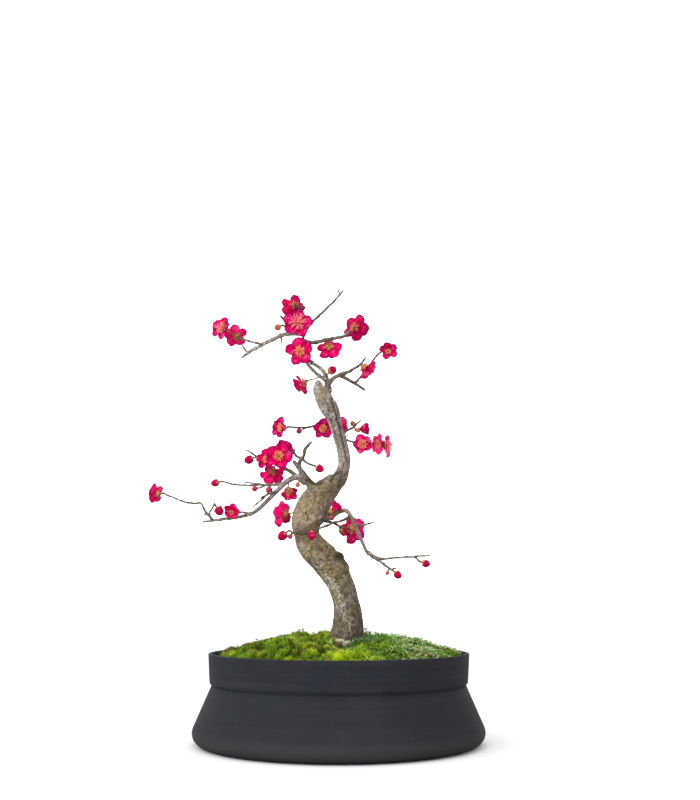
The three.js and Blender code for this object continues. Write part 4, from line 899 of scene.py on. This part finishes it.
def make_trunk():
    """The trunk, roots and limbs, their bark in relief and its colours by place."""
    stem = [TRUNK, *ROOTS, SHOULDER, STUB, COLLAR]
    limbs = stem + [stations for _, stations in BRANCHES.values()]
    data, points, normals = grown_together(limbs)
    local, limb = bark_coordinates(points, limbs)
    z = points[:, 2]

    def along(stretch, size, seed=0.0):
        """Noise that is drawn out along the limb."""
        return noise_at(local * [1, 1, stretch], size, seed)

    lumps, plates = along(0.6, 9.0), along(0.45, 3.4, 3.1)
    streaks, threads = along(0.32, 1.5, 11.7), along(0.5, 0.8, 17.7)
    veil, patches, spots = (noise_at(points, size, seed)
                            for size, seed in ((5.0, 4.4), (11.0, 21.0), (1.7, 13.0)))
    ridged = clipped(1 - np.abs(along(0.22, 2.6, 7.3)) / 0.1)
    cracks = ridged * clipped(veil * 2.5)
    stout = clipped((np.linalg.norm(local[:, :2], axis=1) - 1.6) / 6)
    fuller, mottled = np.interp(z, *FULLER), np.interp(z, *MOTTLED)
    push = stout * (fuller + 0.7 * lumps + 0.4 * plates - 0.4 * cracks) + 0.15 * streaks
    zones = np.array([np.interp(z, ZONES[0], column) for column in ZONES[1:]])
    for number, (looks, _) in enumerate(BRANCHES.values(), len(stem)):
        zones[:, limb == number] = np.array(looks)[:, None]
    tone, pale, green, rust = zones
    tone = (tone + 0.3 * threads
            + mottled * (0.24 * streaks + 0.18 * veil + 0.24 * spots + 0.12 * plates))
    # Painted shade on bark that faces right and down, painted light on bark that faces left; the
    # belly's right side is lightened instead and made rustier.
    right, left, down = (clipped(facing)
                         for facing in (normals[:, 0], -normals[:, 0], -normals[:, 2]))
    belly = bell((z - 182) / 18) * right
    tone -= 0.18 * right + 0.08 * down - 0.25 * belly
    tone += 0.06 * left
    rust = rust + 0.5 * belly
    crack = 0.4 * stout * cracks * mottled
    front = clipped(0.3 - normals[:, 1] * 1.6)
    flat = points[:, [0, 2]] + 0.55 * np.stack([spots, veil], 1)
    ridge = carve_marks(points, front, flat, push, tone, crack)
    # Painted highlight along the ridge: its bark lighter and paler.
    tone += ridge * (0.12 + 0.4 * clipped(streaks + spots))
    for *at, reach in MOSSY:
        green = green + 0.8 * bell(np.linalg.norm(points - at, axis=1) / reach)
    for key, value in (("tone", tone), ("pale", pale + 0.3 * ridge + 0.55 * patches),
                       ("green", green * 0.85 - 0.45 * patches),
                       ("rust", rust * 0.9 + 0.3 * mottled * veil), ("crack", crack)):
        store(data, key, clipped(value))
    moved = points + normals * push[:, None]
    data.vertices.foreach_set("co", (moved * MM).astype(np.float32).ravel())
    data.materials.clear()
    data.shade_smooth()
    settle(show("trunk", data, BARK), "wood", "tree")


def make_twigs():
    """Thin twigs: a flared start, small swellings at the nodes, bud scars and a worn tip."""
    skin, rng, sides = Skin(), np.random.default_rng(SEED.twigs), WOOD.twig_sides
    for number, ((pale,), stations) in enumerate(TWIGS.values()):
        path, at = smooth_path(stations, WOOD.twig_step)
        path[:, 3] = np.maximum(path[:, 3] * WOOD.stouter, WOOD.thinnest)
        path[:, 3] *= 1 + 0.4 * np.exp(-at / 1.8)
        for place in np.arange(rng.uniform(3, 7), at[-1], rng.uniform(7, 10)):
            path[:, 3] *= 1 + 0.22 * bell((at - place) / 0.8)
        wobble = np.array([[noise.noise((s * 0.16, axis * 7.1, number * 3.3)) for axis in range(3)]
                           for s in at])
        path[:, :3] += wobble * np.minimum(at, at[-1] - at)[:, None].clip(0, 1) * 0.45

        def relief(rings, angles, number=number):
            return (1 + 0.08 * np.sin(2 * angles + 0.5 * rings + number)
                    + 0.06 * np.sin(3 * angles - 0.8 * rings))

        points, faces = tube(path, sides, relief)
        flaw = noise_at(points, 2.4, 3.0)
        # Painted light along one side of each twig and painted shade along the other.
        rise = np.tile(np.sin(turns(sides)), len(points) // sides)
        skin.add(points, faces, tone=clipped(0.2 + 0.42 * pale + 0.35 * flaw + 0.1 * rise),
                 pale=clipped(0.25 + pale + 0.3 * flaw),
                 green=np.clip(0.1 - 0.5 * flaw, 0, 0.3),
                 rust=np.clip(0.2 * flaw, 0, 0.3), crack=np.clip(-flaw - 0.25, 0, 0.6))
        add_scars(skin, rng, path, pale)
    skin.piece("twigs", BARK, "wood", "tree")


def add_scars(skin, rng, path, pale):
    """Small resting buds and leaf scars that stand off a twig."""
    along, side, across = frames(path[:, :3])
    for i in range(int(rng.integers(6, 12)), len(path) - 4, int(rng.integers(13, 20))):
        angle = rng.uniform(0, 2 * np.pi)
        out = side[i] * np.cos(angle) + across[i] * np.sin(angle)
        tip = out * rng.uniform(0.5, 1.0) + along[i] * rng.uniform(0.7, 1.3)
        start = path[i, :3] + out * path[i, 3] * 0.6
        radius = rng.uniform(0.4, 0.6)
        stalk = np.array([[*(start + tip * reach), radius * share]
                          for reach, share in ((0, 1), (0.55, 0.9), (1, 0.4))])
        skin.add(*tube(stalk, 6), tone=0.2, pale=pale * 0.6, green=0.1, rust=0.2, crack=0.2)


# ---- blooms

Bloom = namedtuple("Bloom", "number at axes across cup start mauve glow dull wine share blush")


def read_bloom(row):
    """A bloom from its row of the table, with its width and lengths in mm."""
    number, at, faces, (across, cup, turn), start, looks = np.split(row, [1, 4, 7, 10, 13])
    return Bloom(int(number[0]), at, basis(faces, turn), across, cup, start, *looks)


BLOOMS = [read_bloom(row) for row in BLOOM_TABLE]


def cup_curve(cup, steepen):
    """Radius and height along a petal, as shares of its reach, and how far it narrows its cone."""
    flat = np.linspace(0, 1.06, 60)
    slope = np.radians(cup * PETAL.lift) * (1 + steepen * (0.5 - flat))
    radial, height = (running(way(slope[1:]) * np.diff(flat)) for way in (np.cos, np.sin))
    narrows = np.interp(1, flat, radial)
    return flat, radial / narrows, height / narrows, narrows


def petal_grid(bloom, rng, k):
    """One petal: drawn flat as a rounded fan, rolled onto the bloom's cone, then ruffled."""
    reach = bloom.across / 2 * PETAL.fullness
    u, v = leaf_axes(PETAL.rows, PETAL.columns)
    claw = PETAL.claw
    width = PETAL.width * (claw + (1 - claw) * np.sin(u * np.pi / 2) ** 0.85)
    lobes = 1 + 0.05 * np.sin(5 * v + rng.uniform(0, 6)) * u
    end = 1 - PETAL.notch * (1 - np.sqrt(1 - v**2 * 0.999) * lobes)
    x = (claw + (end - claw) * u) * rng.uniform(0.9, 1.03)
    y = v * width * rng.uniform(0.86, 1.04)
    flat = np.hypot(x, y)
    steepen = rng.uniform(0.7, 1.3) * (-0.9 if bloom.cup > CLOSED_CUP else 1)
    lengths, radial, height, narrows = cup_curve(bloom.cup, steepen)
    turn = np.arctan2(y, x) / narrows + np.radians(72 * k + rng.uniform(-6, 6))
    spoon = rng.uniform(0.08, 0.2) * v**2 * u
    twist = rng.uniform(0.035, 0.08) * v * u
    wave = 0.045 * np.sin(2.6 * v * np.pi + rng.uniform(0, 6)) * u**3
    ripple = 0.022 * np.sin(5.1 * u + 4 * v + rng.uniform(0, 6)) * u
    curl = rng.uniform(-0.12, 0.1) * u**4
    off = reach * (spoon + twist + wave + ripple + curl)
    lift = np.radians(bloom.cup * PETAL.lift)
    r = reach * np.interp(flat, lengths, radial) - off * np.sin(lift)
    z = reach * np.interp(flat, lengths, height) + off * np.cos(lift) + PETAL.foot
    # rim: the petal's outer end and sides, darker in the material, partly as painted shade where
    # petals overlap.
    rim = np.maximum(u, np.abs(v) * clipped(2.5 * u))
    return polar(r, turn, z), flat, v * (0.35 + 0.65 * u), rim


def make_petals(bloom):
    """Five petals, each with its own shade of the bloom's colour."""
    rng = np.random.default_rng(SEED.petals + bloom.number)
    skin = Skin()
    for k in range(5):
        grid, out, across, rim = petal_grid(bloom, rng, k)
        points, faces, back = plate(grid, PETAL.thickness)
        skin.add(placed(points, bloom.axes, bloom.at), faces, back=back, out=both(out, grid),
                 across=both(across, grid), rim=both(rim, grid),
                 mauve=bloom.mauve * rng.uniform(0.7, 1.2), glow=bloom.glow,
                 shade=rng.uniform(0, 0.45) + bloom.dull)
    name = f"bloom_{bloom.number:02d}_petals"
    skin.piece(f"{name}_fine", PETALS, "petals", name)


def make_stamens(bloom):
    """A fan of curved filaments with golden anthers round one pale pistil."""
    rng = np.random.default_rng(SEED.stamens + bloom.number)
    skin, reach, t = Skin(), bloom.across / 2, np.linspace(0, 1, STAMEN.steps)

    def in_place(points):
        return placed(points, bloom.axes, bloom.at)

    for i in range(STAMEN.count):
        angle = i * GOLDEN_ANGLE + rng.uniform(-0.2, 0.2)
        lean = np.radians(STAMEN.lean * np.sqrt((i + 0.5) / STAMEN.count)) * (1 - 0.75 * bloom.cup)
        step = reach * bloom.share * rng.uniform(0.8, 1.15) / (STAMEN.steps - 1)
        bend = lean * (0.55 + 0.75 * t)
        path = polar(STAMEN.ring + running(np.sin(bend[1:]) * step), angle,
                     STAMEN.foot + running(np.cos(bend[1:]) * step),
                     STAMEN.radius * (1 - 0.35 * t))
        path[:, :3] = in_place(path[:, :3])
        out = np.repeat(np.append(t, np.ones(len(TIP_STEPS))), 4) * 0.85
        skin.add(*tube(path, 4), out=out, blush=bloom.blush)
        way = path[-1, :3] - path[-2, :3]
        tilt = basis(way + rng.uniform(-0.4, 0.4, 3) * np.linalg.norm(way))
        skin.add(*bead(path[-1, :3], tilt, STAMEN.anther, 4, 6), out=1, blush=bloom.blush)
    heart, faces = lathe([(2.1, 0.3), (2.2, 0.75), (1.5, 1), (0.4, 0.8)], 16)
    skin.add(in_place(heart), faces, out=0.12, blush=0)
    pistil = np.array([[0, 0, 0.4, 0.45], [0.2, 0, reach * 0.25, 0.26],
                       [0.3, 0.1, reach * 0.45, 0.28]])
    pistil[:, :3] = in_place(pistil[:, :3])
    skin.add(*tube(pistil, 6), out=0.5, blush=0)
    name = f"bloom_{bloom.number:02d}_stamens"
    stood_for = [name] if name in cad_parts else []
    skin.piece(f"{name}_fine", STAMENS, "stamens", *stood_for)


def sepal_grid(reach, lift, rng, k):
    """One sepal of a bloom, from the cup's edge out, and how far out its rows are."""
    u, v = leaf_axes(7, 9)
    end = 0.7 + 0.3 * np.sqrt(1 - v**2 * 0.999)
    inner = STALK.cup * 0.72
    x = inner + (reach - inner) * u * end
    y = v * reach * 0.36 * (0.62 + 0.38 * np.sin(u * np.pi / 2))
    turn = np.arctan2(y, x) + np.radians(36 + 72 * k + rng.uniform(-5, 5))
    r = np.hypot(x, y)
    z = (r - inner) * np.tan(lift) - 0.35 * v**2 * u + rng.uniform(-0.5, 0.25) * u**2 - 0.15
    return polar(r, turn, z), u


def add_stalk(skin, start, at, axes, radius, crimson):
    """Short stalk in its collar of bud scales, up to the foot of the cup."""
    foot = at - axes[:, 2] * STALK.cup_depth
    middle = (start + foot) / 2 + 0.15 * (foot - start)[[1, 0, 2]] * [1, -1, 0]
    path, s = smooth_path(np.array([[*start, radius], [*middle, radius * 0.95],
                                    [*foot, radius * 1.2]]), 0.6)
    path[:, 3] *= 1 + 0.5 * np.exp(-s / 0.9)
    skin.add(*tube(path, 10), out=0.12, crimson=crimson)
    away = unit(foot - start)
    for i in range(4):
        tilt = basis(away + 0.55 * (axes @ [np.cos(1.57 * i), np.sin(1.57 * i), 0]))
        skin.add(*bead(start + tilt[:, 2] * 0.8, tilt, (0.75, 0.5, 1.25)), out=0, crimson=0)


def make_calyces():
    """Stalks, cups and sepals of the blooms."""
    skin, rng = Skin(), np.random.default_rng(SEED.calyces)
    cup = [(STALK.radius, -STALK.cup_depth - 0.5), (STALK.cup_foot, -STALK.cup_depth),
           (1.75, -1.9), (2.05, -0.9), (STALK.cup, -0.1), (1.9, 0.25), (1.3, 0.0), (0.3, -0.3)]
    cup_out = np.repeat([0.1, 0.25, 0.4, 0.5, 0.6, 0.6, 0.4, 0.35], 20)
    for bloom in BLOOMS:
        add_stalk(skin, bloom.start, bloom.at, bloom.axes, STALK.radius, 0)
        points, faces = lathe(cup, 20)
        skin.add(placed(points, bloom.axes, bloom.at), faces, out=cup_out,
                 crimson=0.6 * bloom.wine)
        reach = min(SEPAL.reach, bloom.across * SEPAL.share)
        closed = bloom.cup > CLOSED_CUP
        reach = reach * SEPAL.closed + 0.8 if closed else reach
        lift = np.radians(bloom.cup * PETAL.lift * (1.15 if closed else 0.75))
        for k in range(5):
            grid, u = sepal_grid(reach, lift, rng, k)
            points, faces, side = plate(grid, SEPAL.thickness)
            skin.add(placed(points, bloom.axes, bloom.at), faces, out=both(0.5 + 0.5 * u, grid),
                     crimson=clipped(bloom.wine + 0.15 * (1 - side)))
    skin.piece("calyces", CALYX, "wood", "tree")


# ---- buds

def read_bud(row):
    """Middle, radius, start of the stalk and axes of a bud."""
    at, radius, start = row[:3], row[3], row[4:7]
    return at, radius, start, basis(at - start)


def ball_grid(radius, rows, sides, swirl, step, petals, top):
    """Ball of petals that lap one over the next, a little pointed.

    Gives points, faces, how far across its petal each corner lies, and its height.
    """
    down = np.linspace(0.02, np.pi - 0.02, rows)[:, None]
    azimuth = turns(sides)[None, :]
    lap = (azimuth / (2 * np.pi) * petals + swirl * np.cos(down)) % 1
    pointed = 1 + (top - 1) * clipped(np.cos(down)) ** 3
    waist = 1 - 0.14 * clipped(-np.cos(down)) ** 2
    r = radius * (1 + step * (lap - 0.6) * np.sin(down)) * waist
    grid = polar(r * np.sin(down), azimuth, radius * np.cos(down) * pointed)
    faces = [block[:, ::-1] for block in capped(rows, sides)]
    return grid.reshape(-1, 3), faces, lap, np.cos(down) + 0 * azimuth


def make_bud(number, row):
    """The petals of a bud that shows its colour, furled one over the next."""
    at, radius, _, axes = read_bud(row)
    points, faces, lap, _ = ball_grid(radius, 22, 50, 0.55, 0.1, 5, 1.16)
    skin = Skin()
    # Dark rims where one petal laps under the next are painted shade; the bud also gets a little
    # painted light and paleness.
    skin.add(placed(points, axes, at), faces, out=0.4 + 0.35 * lap, across=lap * 0.8,
             rim=lap < 0.14, mauve=0.15, back=1, glow=0.5, shade=0.75)
    name = f"bud_{number:02d}_petals"
    skin.piece(f"{name}_fine", PETALS, "buds", name)


def add_bud_sepals(skin, at, radius, axes):
    """Five sepals that clasp a bud from below."""
    _, spread = leaf_axes(8, 9)
    down = np.linspace(0.02, 1.25, 8)[:, None]
    half = np.radians(40) * np.sqrt(np.clip(1 - (down / 1.28) ** 3.5, 0.02, 1))
    angle = down * (1 - 0.1 * spread**2)
    for k in range(5):
        r = radius * (1.1 + 0.05 * down / 1.25 + 0.02 * (k % 2))
        azimuth = np.radians(72 * k) + half * spread
        grid = polar(r * np.sin(angle), azimuth, -r * np.cos(angle) * 0.98)
        points, faces, _ = plate(grid, -0.25)
        skin.add(placed(points, axes, at), faces, out=both(0.35 + 0.6 * down / 1.25, grid),
                 crimson=0.2)


def make_bud_wood():
    """Sepal cups under the open buds, and the buds that are still in their scales."""
    skin = Skin()
    for row in BUDS:
        at, radius, start, axes = read_bud(row[1:])
        add_stalk(skin, start, at + axes[:, 2] * (STALK.cup_depth - radius * 1.2), axes, 0.6, 0.1)
        add_bud_sepals(skin, at, radius, axes)
    for row in SCALE_BUDS:
        crimson = row[7]
        at, radius, start, axes = read_bud(row)
        add_stalk(skin, start, at + axes[:, 2] * (STALK.cup_depth - radius * 1.1), axes, 0.55, 0.1)
        points, faces, lap, height = ball_grid(radius, 18, 36, 1.6, 0.2, 4, 1.12)
        brown = 0.3 if crimson < 0.18 else 1
        skin.add(placed(points, axes, at), faces, out=brown * clipped(1 - 0.6 * lap),
                 crimson=clipped(crimson * (1.6 + 0.6 * height)))
    skin.piece("bud_scales", CALYX, "wood", "tree")


# ---- moss

def cad_draw(state):
    """The CAD part's own seeded draw, so that the cushions lie where its moss has them."""
    while True:
        state = (state * 1664525 + 1013904223) % 4294967296
        yield state / 4294967296


def cushions():
    """Place, radius and height of each cushion."""
    numbers, rows = cad_draw(SEED.cushions), []
    for i in range(MOSS.cushions):
        distance = POT.waist_radius * MOSS.spread * np.sqrt((i + 0.5) / MOSS.cushions)
        radius, height = (low + (high - low) * next(numbers)
                          for low, high in (MOSS.cushion_radius, MOSS.cushion_height))
        rows.append((*polar(distance, i * GOLDEN_ANGLE), radius, height))
    return np.array(rows)


CUSHIONS = cushions()
# Painted light and shade on the moss along x: a factor on its leaves' brightness.
MOSS_PAINTED_LIGHT = [-80, -20, 10, 70], [0.62, 0.85, 1.25, 1.1]
# How far the moss sinks towards the right, and what share of their height its blades keep there.
LOW_RIGHT = [30, 60, 85, 100], [0, 1.2, 2.4, 1]
SHORT_RIGHT = [35, 65, 92], [1, 0.75, 0.4]
# Flakes of bark before the trunk: x, y, lift, radii, way up, and 1 for pale, 0 for red-brown.
FLAKES = table(10, """
    1 -20 7.2  4 2.6 1  0.1 -0.5 1  1
    0.5 -22 3.8  4.2 2.4 4.2  -0.1 -0.9 1  0
    6.8 -22.5 3.6  4.6 2.4 3.8  0.25 -0.8 1  1
    -6.5 -19.5 3.4  1.7 1.2 2.6  0 -0.2 1  1
    -4 -25 2.4  1.1 1 2.6  0.2 -0.2 1  1
    12 -21 2  1.5 1.2 2.2  0.2 0.1 1  1""")
# Blades that stand out on their own: x, y, height, lean in x and y, hue.
BLADES = table(6, """
    -30 -8 13 0.12 0 0.05  -28.5 -8 10 -0.3 0.1 0.05  -31 -9 9 -0.5 0 0.1
    -63 -30 8 0.3 0 0.2  -76 -20 7 -0.4 0.1 0.1  30 6 13 0.2 0 0.5""")


def bare(x, y):
    """How open the ground is, from 0 to 1: a patch before the trunk, where bark chips lie."""
    return np.exp(-((((x + 1) / 13) ** 2 + ((y + 25) / 12) ** 2) ** 1.5))


def shaded(x, y):
    """Painted shade on the moss, from 0 to 1: a blue-green patch right of the trunk's foot."""
    return np.exp(-(((x - 18) / 14) ** 2) - ((y + 30) / 22) ** 2)


def moss_height(x, y):
    """Height of the moss bed: the CAD part's mound and cushions, a little lower for the leaves."""
    inward = POT.waist_radius - np.hypot(x, y)
    distance = np.minimum(1, np.hypot(x - MOSS.trunk_x, y) / POT.waist_radius)
    mound = MOSS.crown + (MOSS.edge - MOSS.crown) * distance ** MOSS.dome
    rise = np.zeros_like(mound)
    for cx, cy, radius, height in CUSHIONS:
        share = np.hypot(x - cx, y - cy) / radius
        rise = np.maximum(rise, height * np.sqrt(clipped(1 - share**2)))
    inside = clipped(inward / MOSS.edge_band)
    mound = mound + (MOSS.edge_share + (1 - MOSS.edge_share) * inside) * rise * (1 - bare(x, y))
    hollow = (3.6 * bare(x, y) + 1.8 * np.exp(-((x - 1) / 18) ** 2 - ((y + 44) / 20) ** 2)
              + 1.6 * shaded(x, y))
    sunk = 2.2 * clipped((-x - 88) / 12) + np.interp(x, *LOW_RIGHT)
    swell = 3.2 * bell((x + 50) / 33) * clipped(inward / 25)
    return mound - MOSS.settle - hollow - sunk + swell


def spread_over(count, radius, keep_off, rng):
    """Even places over the pot's mouth, a little shaken, off the trunk."""
    i = np.arange(count)
    even = polar(radius * np.sqrt((i + 0.5) / count), i * GOLDEN_ANGLE).T
    x, y = even + rng.normal(0, 0.5, (2, count))
    kept = (np.hypot(x - MOSS.trunk_x, y) > keep_off) & (np.hypot(x, y) < radius + 0.3)
    return x[kept], y[kept]


def make_tufts():
    """Small domes of moss: place, radius, height, hue and dryness of each."""
    rng = np.random.default_rng(SEED.tufts)
    x, y = spread_over(MOSS.tufts, MOSS.radius - 3, 13, rng)
    count = len(x)
    x, y = (x, y) + rng.normal(0, 1.5, (2, count))
    right = clipped((x + 10) / 60)
    radius = 2.7 + 5 * rng.random(count) ** 1.6 * (1 - 0.4 * right)
    height = radius * rng.uniform(0.45, 0.85, count) * (1 - 0.3 * right) * (1 - 0.9 * bare(x, y))
    hue = rng.choice([0.05, 0.25, 0.5, 0.7, 1.0], count, p=[0.2, 0.22, 0.28, 0.2, 0.1])
    bright = (np.hypot(x - 16, y + 88) < 22) & (y < -72)
    hue = np.where(bright, 1.0, hue * (1 - 0.3 * right) + 0.15 * right)
    dry = np.where((rng.random(count) < 0.08) & ~bright, 0.6, 0)
    return np.stack([x, y, radius, height, hue, dry], 1)


TUFTS = make_tufts()


def on_tufts(x, y):
    """For each place: rise of its tuft, way out in shares of its radius, hue and dryness."""
    best, picked = np.full(len(x), -1.0), np.zeros(len(x), int)
    for number, (cx, cy, radius, height, _, _) in enumerate(TUFTS):
        rise = height * (1 - ((x - cx) ** 2 + (y - cy) ** 2) / radius**2)
        better = rise > best
        best[better], picked[better] = rise[better], number
    tuft = TUFTS[picked]
    out = (np.stack([x, y], 1) - tuft[:, :2]) / tuft[:, 2:3]
    return np.clip(best, -0.6, None), out, tuft[:, 4], tuft[:, 5]


def make_moss_bed():
    """Bed of the moss: a mound with fine lumps, closed underneath."""
    rings, sides = MOSS.rings, MOSS.sides
    r = MOSS.radius * np.linspace(1, 0, rings + 1)[:-1]
    x, y = polar(r[:, None], turns(sides)).reshape(-1, 2).T
    rise, _, hue, dry = on_tufts(x, y)
    z = moss_height(x, y) + MOSS.tuft_share * rise
    z += 0.5 * noise_at(np.stack([x, y, z], 1), 1.7, 4.0)
    under, none = circle(sides, MOSS.radius, MOSS.under), np.zeros(sides)
    skin = Skin()
    # The bed dark, as painted shade under the leaves, and lighter on the tufts' tops as painted
    # light.
    skin.add(np.concatenate([under, np.stack([x, y, z], 1)]), capped(rings + 1, sides),
             tip=np.append(none, 0.05 + 0.1 * rise), hue=np.append(none, hue),
             dry=np.append(none, dry))
    skin.piece("moss_bed", MOSS_PAINT, "moss", "moss")


def leaves(skin, at, way, length, width, rng, low, high, **values):
    """Many slim three-sided leaves at once, each to a point; tip goes from low to high."""
    count = len(at)
    way = unit(way)
    side = unit(np.cross(way, rng.normal(size=(count, 3))))
    over = np.cross(way, side)
    corners = [at + width[:, None] * (side * np.cos(a) + over * np.sin(a))
               for a in np.radians([0, 120, 240])]
    points = np.stack([*corners, at + way * length[:, None]], 1)
    faces = np.array([[0, 1, 3], [1, 2, 3], [2, 0, 3], [0, 2, 1]])
    tip = np.stack([value * np.ones(count) for value in (low, low, low, high)], 1)
    skin.add(points, [(np.arange(count)[:, None, None] * 4 + faces).reshape(-1, 3)], tip=tip,
             **{name: np.repeat(value, 4) for name, value in values.items()})


def make_moss_leaves():
    """Fine leaves that stand off the tufts: painted light on a tuft's dome, painted shade between
    tufts.
    """
    rng = np.random.default_rng(SEED.leaves)
    x, y = spread_over(MOSS.leaves, MOSS.radius - 0.6, 13.5, rng)
    count = len(x)
    rise, out, hue, dry = on_tufts(x, y)
    at = np.stack([x, y, moss_height(x, y) + MOSS.tuft_share * rise - 0.9], 1)
    way = np.column_stack([0.95 * out + rng.normal(0, 0.3, (2, count)).T, np.full(count, 0.9)])
    dome = clipped(1 - np.linalg.norm(out, axis=1))
    length = rng.uniform(1.8, 3.6, count) * (1 - 0.3 * dry) * (1 - 0.6 * bare(x, y))
    # Painted light on the tufts' domes and along x, painted shade between tufts and in the shaded
    # patch.
    light = clipped((1.6 * dome + rng.normal(0.03, 0.26, count)) * np.interp(x, *MOSS_PAINTED_LIGHT))
    light = light * (1 - 0.75 * shaded(x, y))
    hue = (hue - 0.2 * clipped((-x - 10) / 50)) * (1 - 0.4 * shaded(x, y))
    skin = Skin()
    # Each leaf darker at its foot: partly its own colour, partly painted shade down among the
    # leaves.
    leaves(skin, at, way, length, rng.uniform(0.28, 0.46, count), rng, 0.3 * light, light,
           hue=clipped(hue + rng.normal(0, 0.1, count)), dry=dry * (rng.random(count) < 0.7))
    skin.piece("moss_leaves", MOSS_PAINT, "moss", "moss")


def make_moss_stars():
    """Star moss: rosettes of pointed leaves, most of them right of the trunk."""
    rng = np.random.default_rng(SEED.stars)
    x, y = spread_over(MOSS.stars, MOSS.radius - 2, 17, rng)
    kept = rng.random(len(x)) < 0.05 + 0.6 * clipped((x - 8) / 40)
    x, y = x[kept], y[kept]
    count = len(x)
    height = rng.uniform(1.5, 5, count) * np.interp(x, *SHORT_RIGHT)
    stem = np.stack([x, y, moss_height(x, y) + height], 1)
    pale = clipped((x - 30) / 34) * (rng.random(count) < 0.46)
    # Star moss darker and bluer in the painted shade right of the trunk's foot.
    hue = clipped(rng.uniform(0.25, 0.5, count) * (1 - shaded(x, y)) + 0.7 * pale)
    skin = Skin()
    for k in range(7):
        angle = 2 * np.pi * k / 7 + rng.uniform(-0.35, 0.35, count)
        way = polar(1, angle, rng.uniform(0.3, 1.5, count))
        leaves(skin, stem, way, rng.uniform(1.8, 3.2, count), np.full(count, 0.3), rng,
               0.3, rng.uniform(0.7, 1, count), hue=hue)
    up = np.column_stack([rng.normal(0, 0.1, (2, count)).T, np.ones(count)])
    leaves(skin, stem - up * 4.5, up, np.full(count, 6.2), np.full(count, 0.4), rng, 0, 0.6,
           hue=hue)
    skin.piece("star_moss", GRASS_PAINT, "moss", "moss")


def add_chip(skin, x, y, up, radii, tilt, light):
    """A flattened lump of bark, that far up from the moss."""
    tone, green, rust = (1, 0.3, 0.12) if light else (0.3, 0, 1)
    skin.add(*bead((x, y, moss_height(x, y) + up), basis(tilt), radii, 5, 9),
             tone=tone, pale=0, green=green, rust=rust, crack=0)


def make_crumbs():
    """Flakes and crumbs of pale and red-brown bark that lie in the moss at the trunk's foot."""
    skin, rng = Skin(), np.random.default_rng(SEED.chips)
    for row in FLAKES:
        add_chip(skin, *row[:3], row[3:6], row[6:9], row[9])
    for _ in range(CHIPS):
        angle, distance = rng.uniform(-2.5, -1.1), rng.uniform(15, 27)
        x, y = polar(distance, angle) + [MOSS.trunk_x, 0]
        radii = rng.uniform(0.5, 1.3, 3) * (1.3, 1, 0.7)
        add_chip(skin, x, y, rng.uniform(0.6, 2.2), radii, rng.normal(0, 1, 3),
                 rng.random() < 0.45)
    skin.piece("bark_chips", BARK, "wood")


def add_blade(skin, rng, x, y, height, lean, hue, width=0.5):
    """One thin grass blade with a keel, bent over towards its tip."""
    t = np.linspace(0, 1, 6)[:, None]
    start, up = np.array([x, y, moss_height(x, y) - 1]), np.array([0, 0, 1])
    centre = start + np.array([*lean, 0]) * height * t**1.8 + up * height * t * (1 - 0.25 * t)
    side = unit([-lean[1], lean[0], 0] + rng.normal(0, 0.2, 3))
    half = width * (1 - t**1.6) + 0.05
    keel = np.cross(side, up) * 0.18
    rows = np.stack([centre - side * half, centre + keel, centre + side * half], 1)
    skin.add(rows, capped(6, 3), tip=np.repeat(t, 3), hue=hue)


def make_grass():
    """Fresh blades right of the trunk, straw-pale ones far right, dark ones in painted shade
    before the trunk's right foot, and a few dark ones at the left.
    """
    skin, rng = Skin(), np.random.default_rng(SEED.grass)
    for _ in range(GRASS.fresh):
        angle, distance = rng.uniform(-1.75, 1.2), 20 + 78 * rng.random() ** 0.8
        x, y = polar(distance, angle) + [4, 0]
        if x < 4 or np.hypot(x, y) > 97:
            continue
        pale = clipped((x - 28) / 34) * (rng.random() < 0.62)
        height = rng.uniform(4.5, 9.5) * np.interp(x, *SHORT_RIGHT)
        add_blade(skin, rng, x, y, height, rng.normal(0, 0.5, 2),
                  clipped(rng.uniform(0.3, 0.55) + 0.7 * pale), 0.6)
    # Dark blue-green blades before the trunk's right foot: their darkness is painted shade.
    for _ in range(GRASS.dark):
        x, y = rng.uniform(6, 30), rng.uniform(-62, -13)
        add_blade(skin, rng, x, y, rng.uniform(5, 8.5), rng.normal(0, 0.4, 2),
                  rng.uniform(0, 0.16), 0.6)
    for _ in range(GRASS.left):
        angle, distance = rng.uniform(1.9, 4.4), rng.uniform(22, 95)
        add_blade(skin, rng, *polar(distance, angle), rng.uniform(3.5, 7),
                  rng.normal(0, 0.5, 2), rng.uniform(0.05, 0.5))
    for x, y, height, *lean, hue in BLADES:
        add_blade(skin, rng, x, y, height, lean, hue)
    skin.piece("grass_blades", GRASS_PAINT, "moss", "moss")


# ---- assembly

make_camera()
make_stage()

BARK, CALYX = bark_material(), calyx_material()
PETALS, STAMENS = petal_material(), stamen_material()
MOSS_PAINT, GRASS_PAINT = moss_material(), grass_material()
SOIL = ("potting_soil", 0.95, 420, 5, (0.3, 0.55, 0.75),
        ((38, 28, 20), (74, 56, 40), (120, 98, 76)), 0.8)
SCREEN = ("screen_mesh", 0.5, 260, 3, (0.35, 0.7), ((30, 30, 29), (58, 57, 54)), 0.05, 0.4)
for node, looks in (("soil", SOIL), ("drainage_screen_1", SCREEN), ("drainage_screen_2", SCREEN)):
    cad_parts[node].data.materials.clear()
    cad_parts[node].data.materials.append(speckled(*looks))

make_pot()
make_trunk()
make_twigs()
make_calyces()
make_bud_wood()
for bloom in BLOOMS:
    make_petals(bloom)
    make_stamens(bloom)
for row in BUDS:
    make_bud(int(row[0]), row[1:])
make_moss_bed()
make_moss_leaves()
make_moss_stars()
make_crumbs()
make_grass()
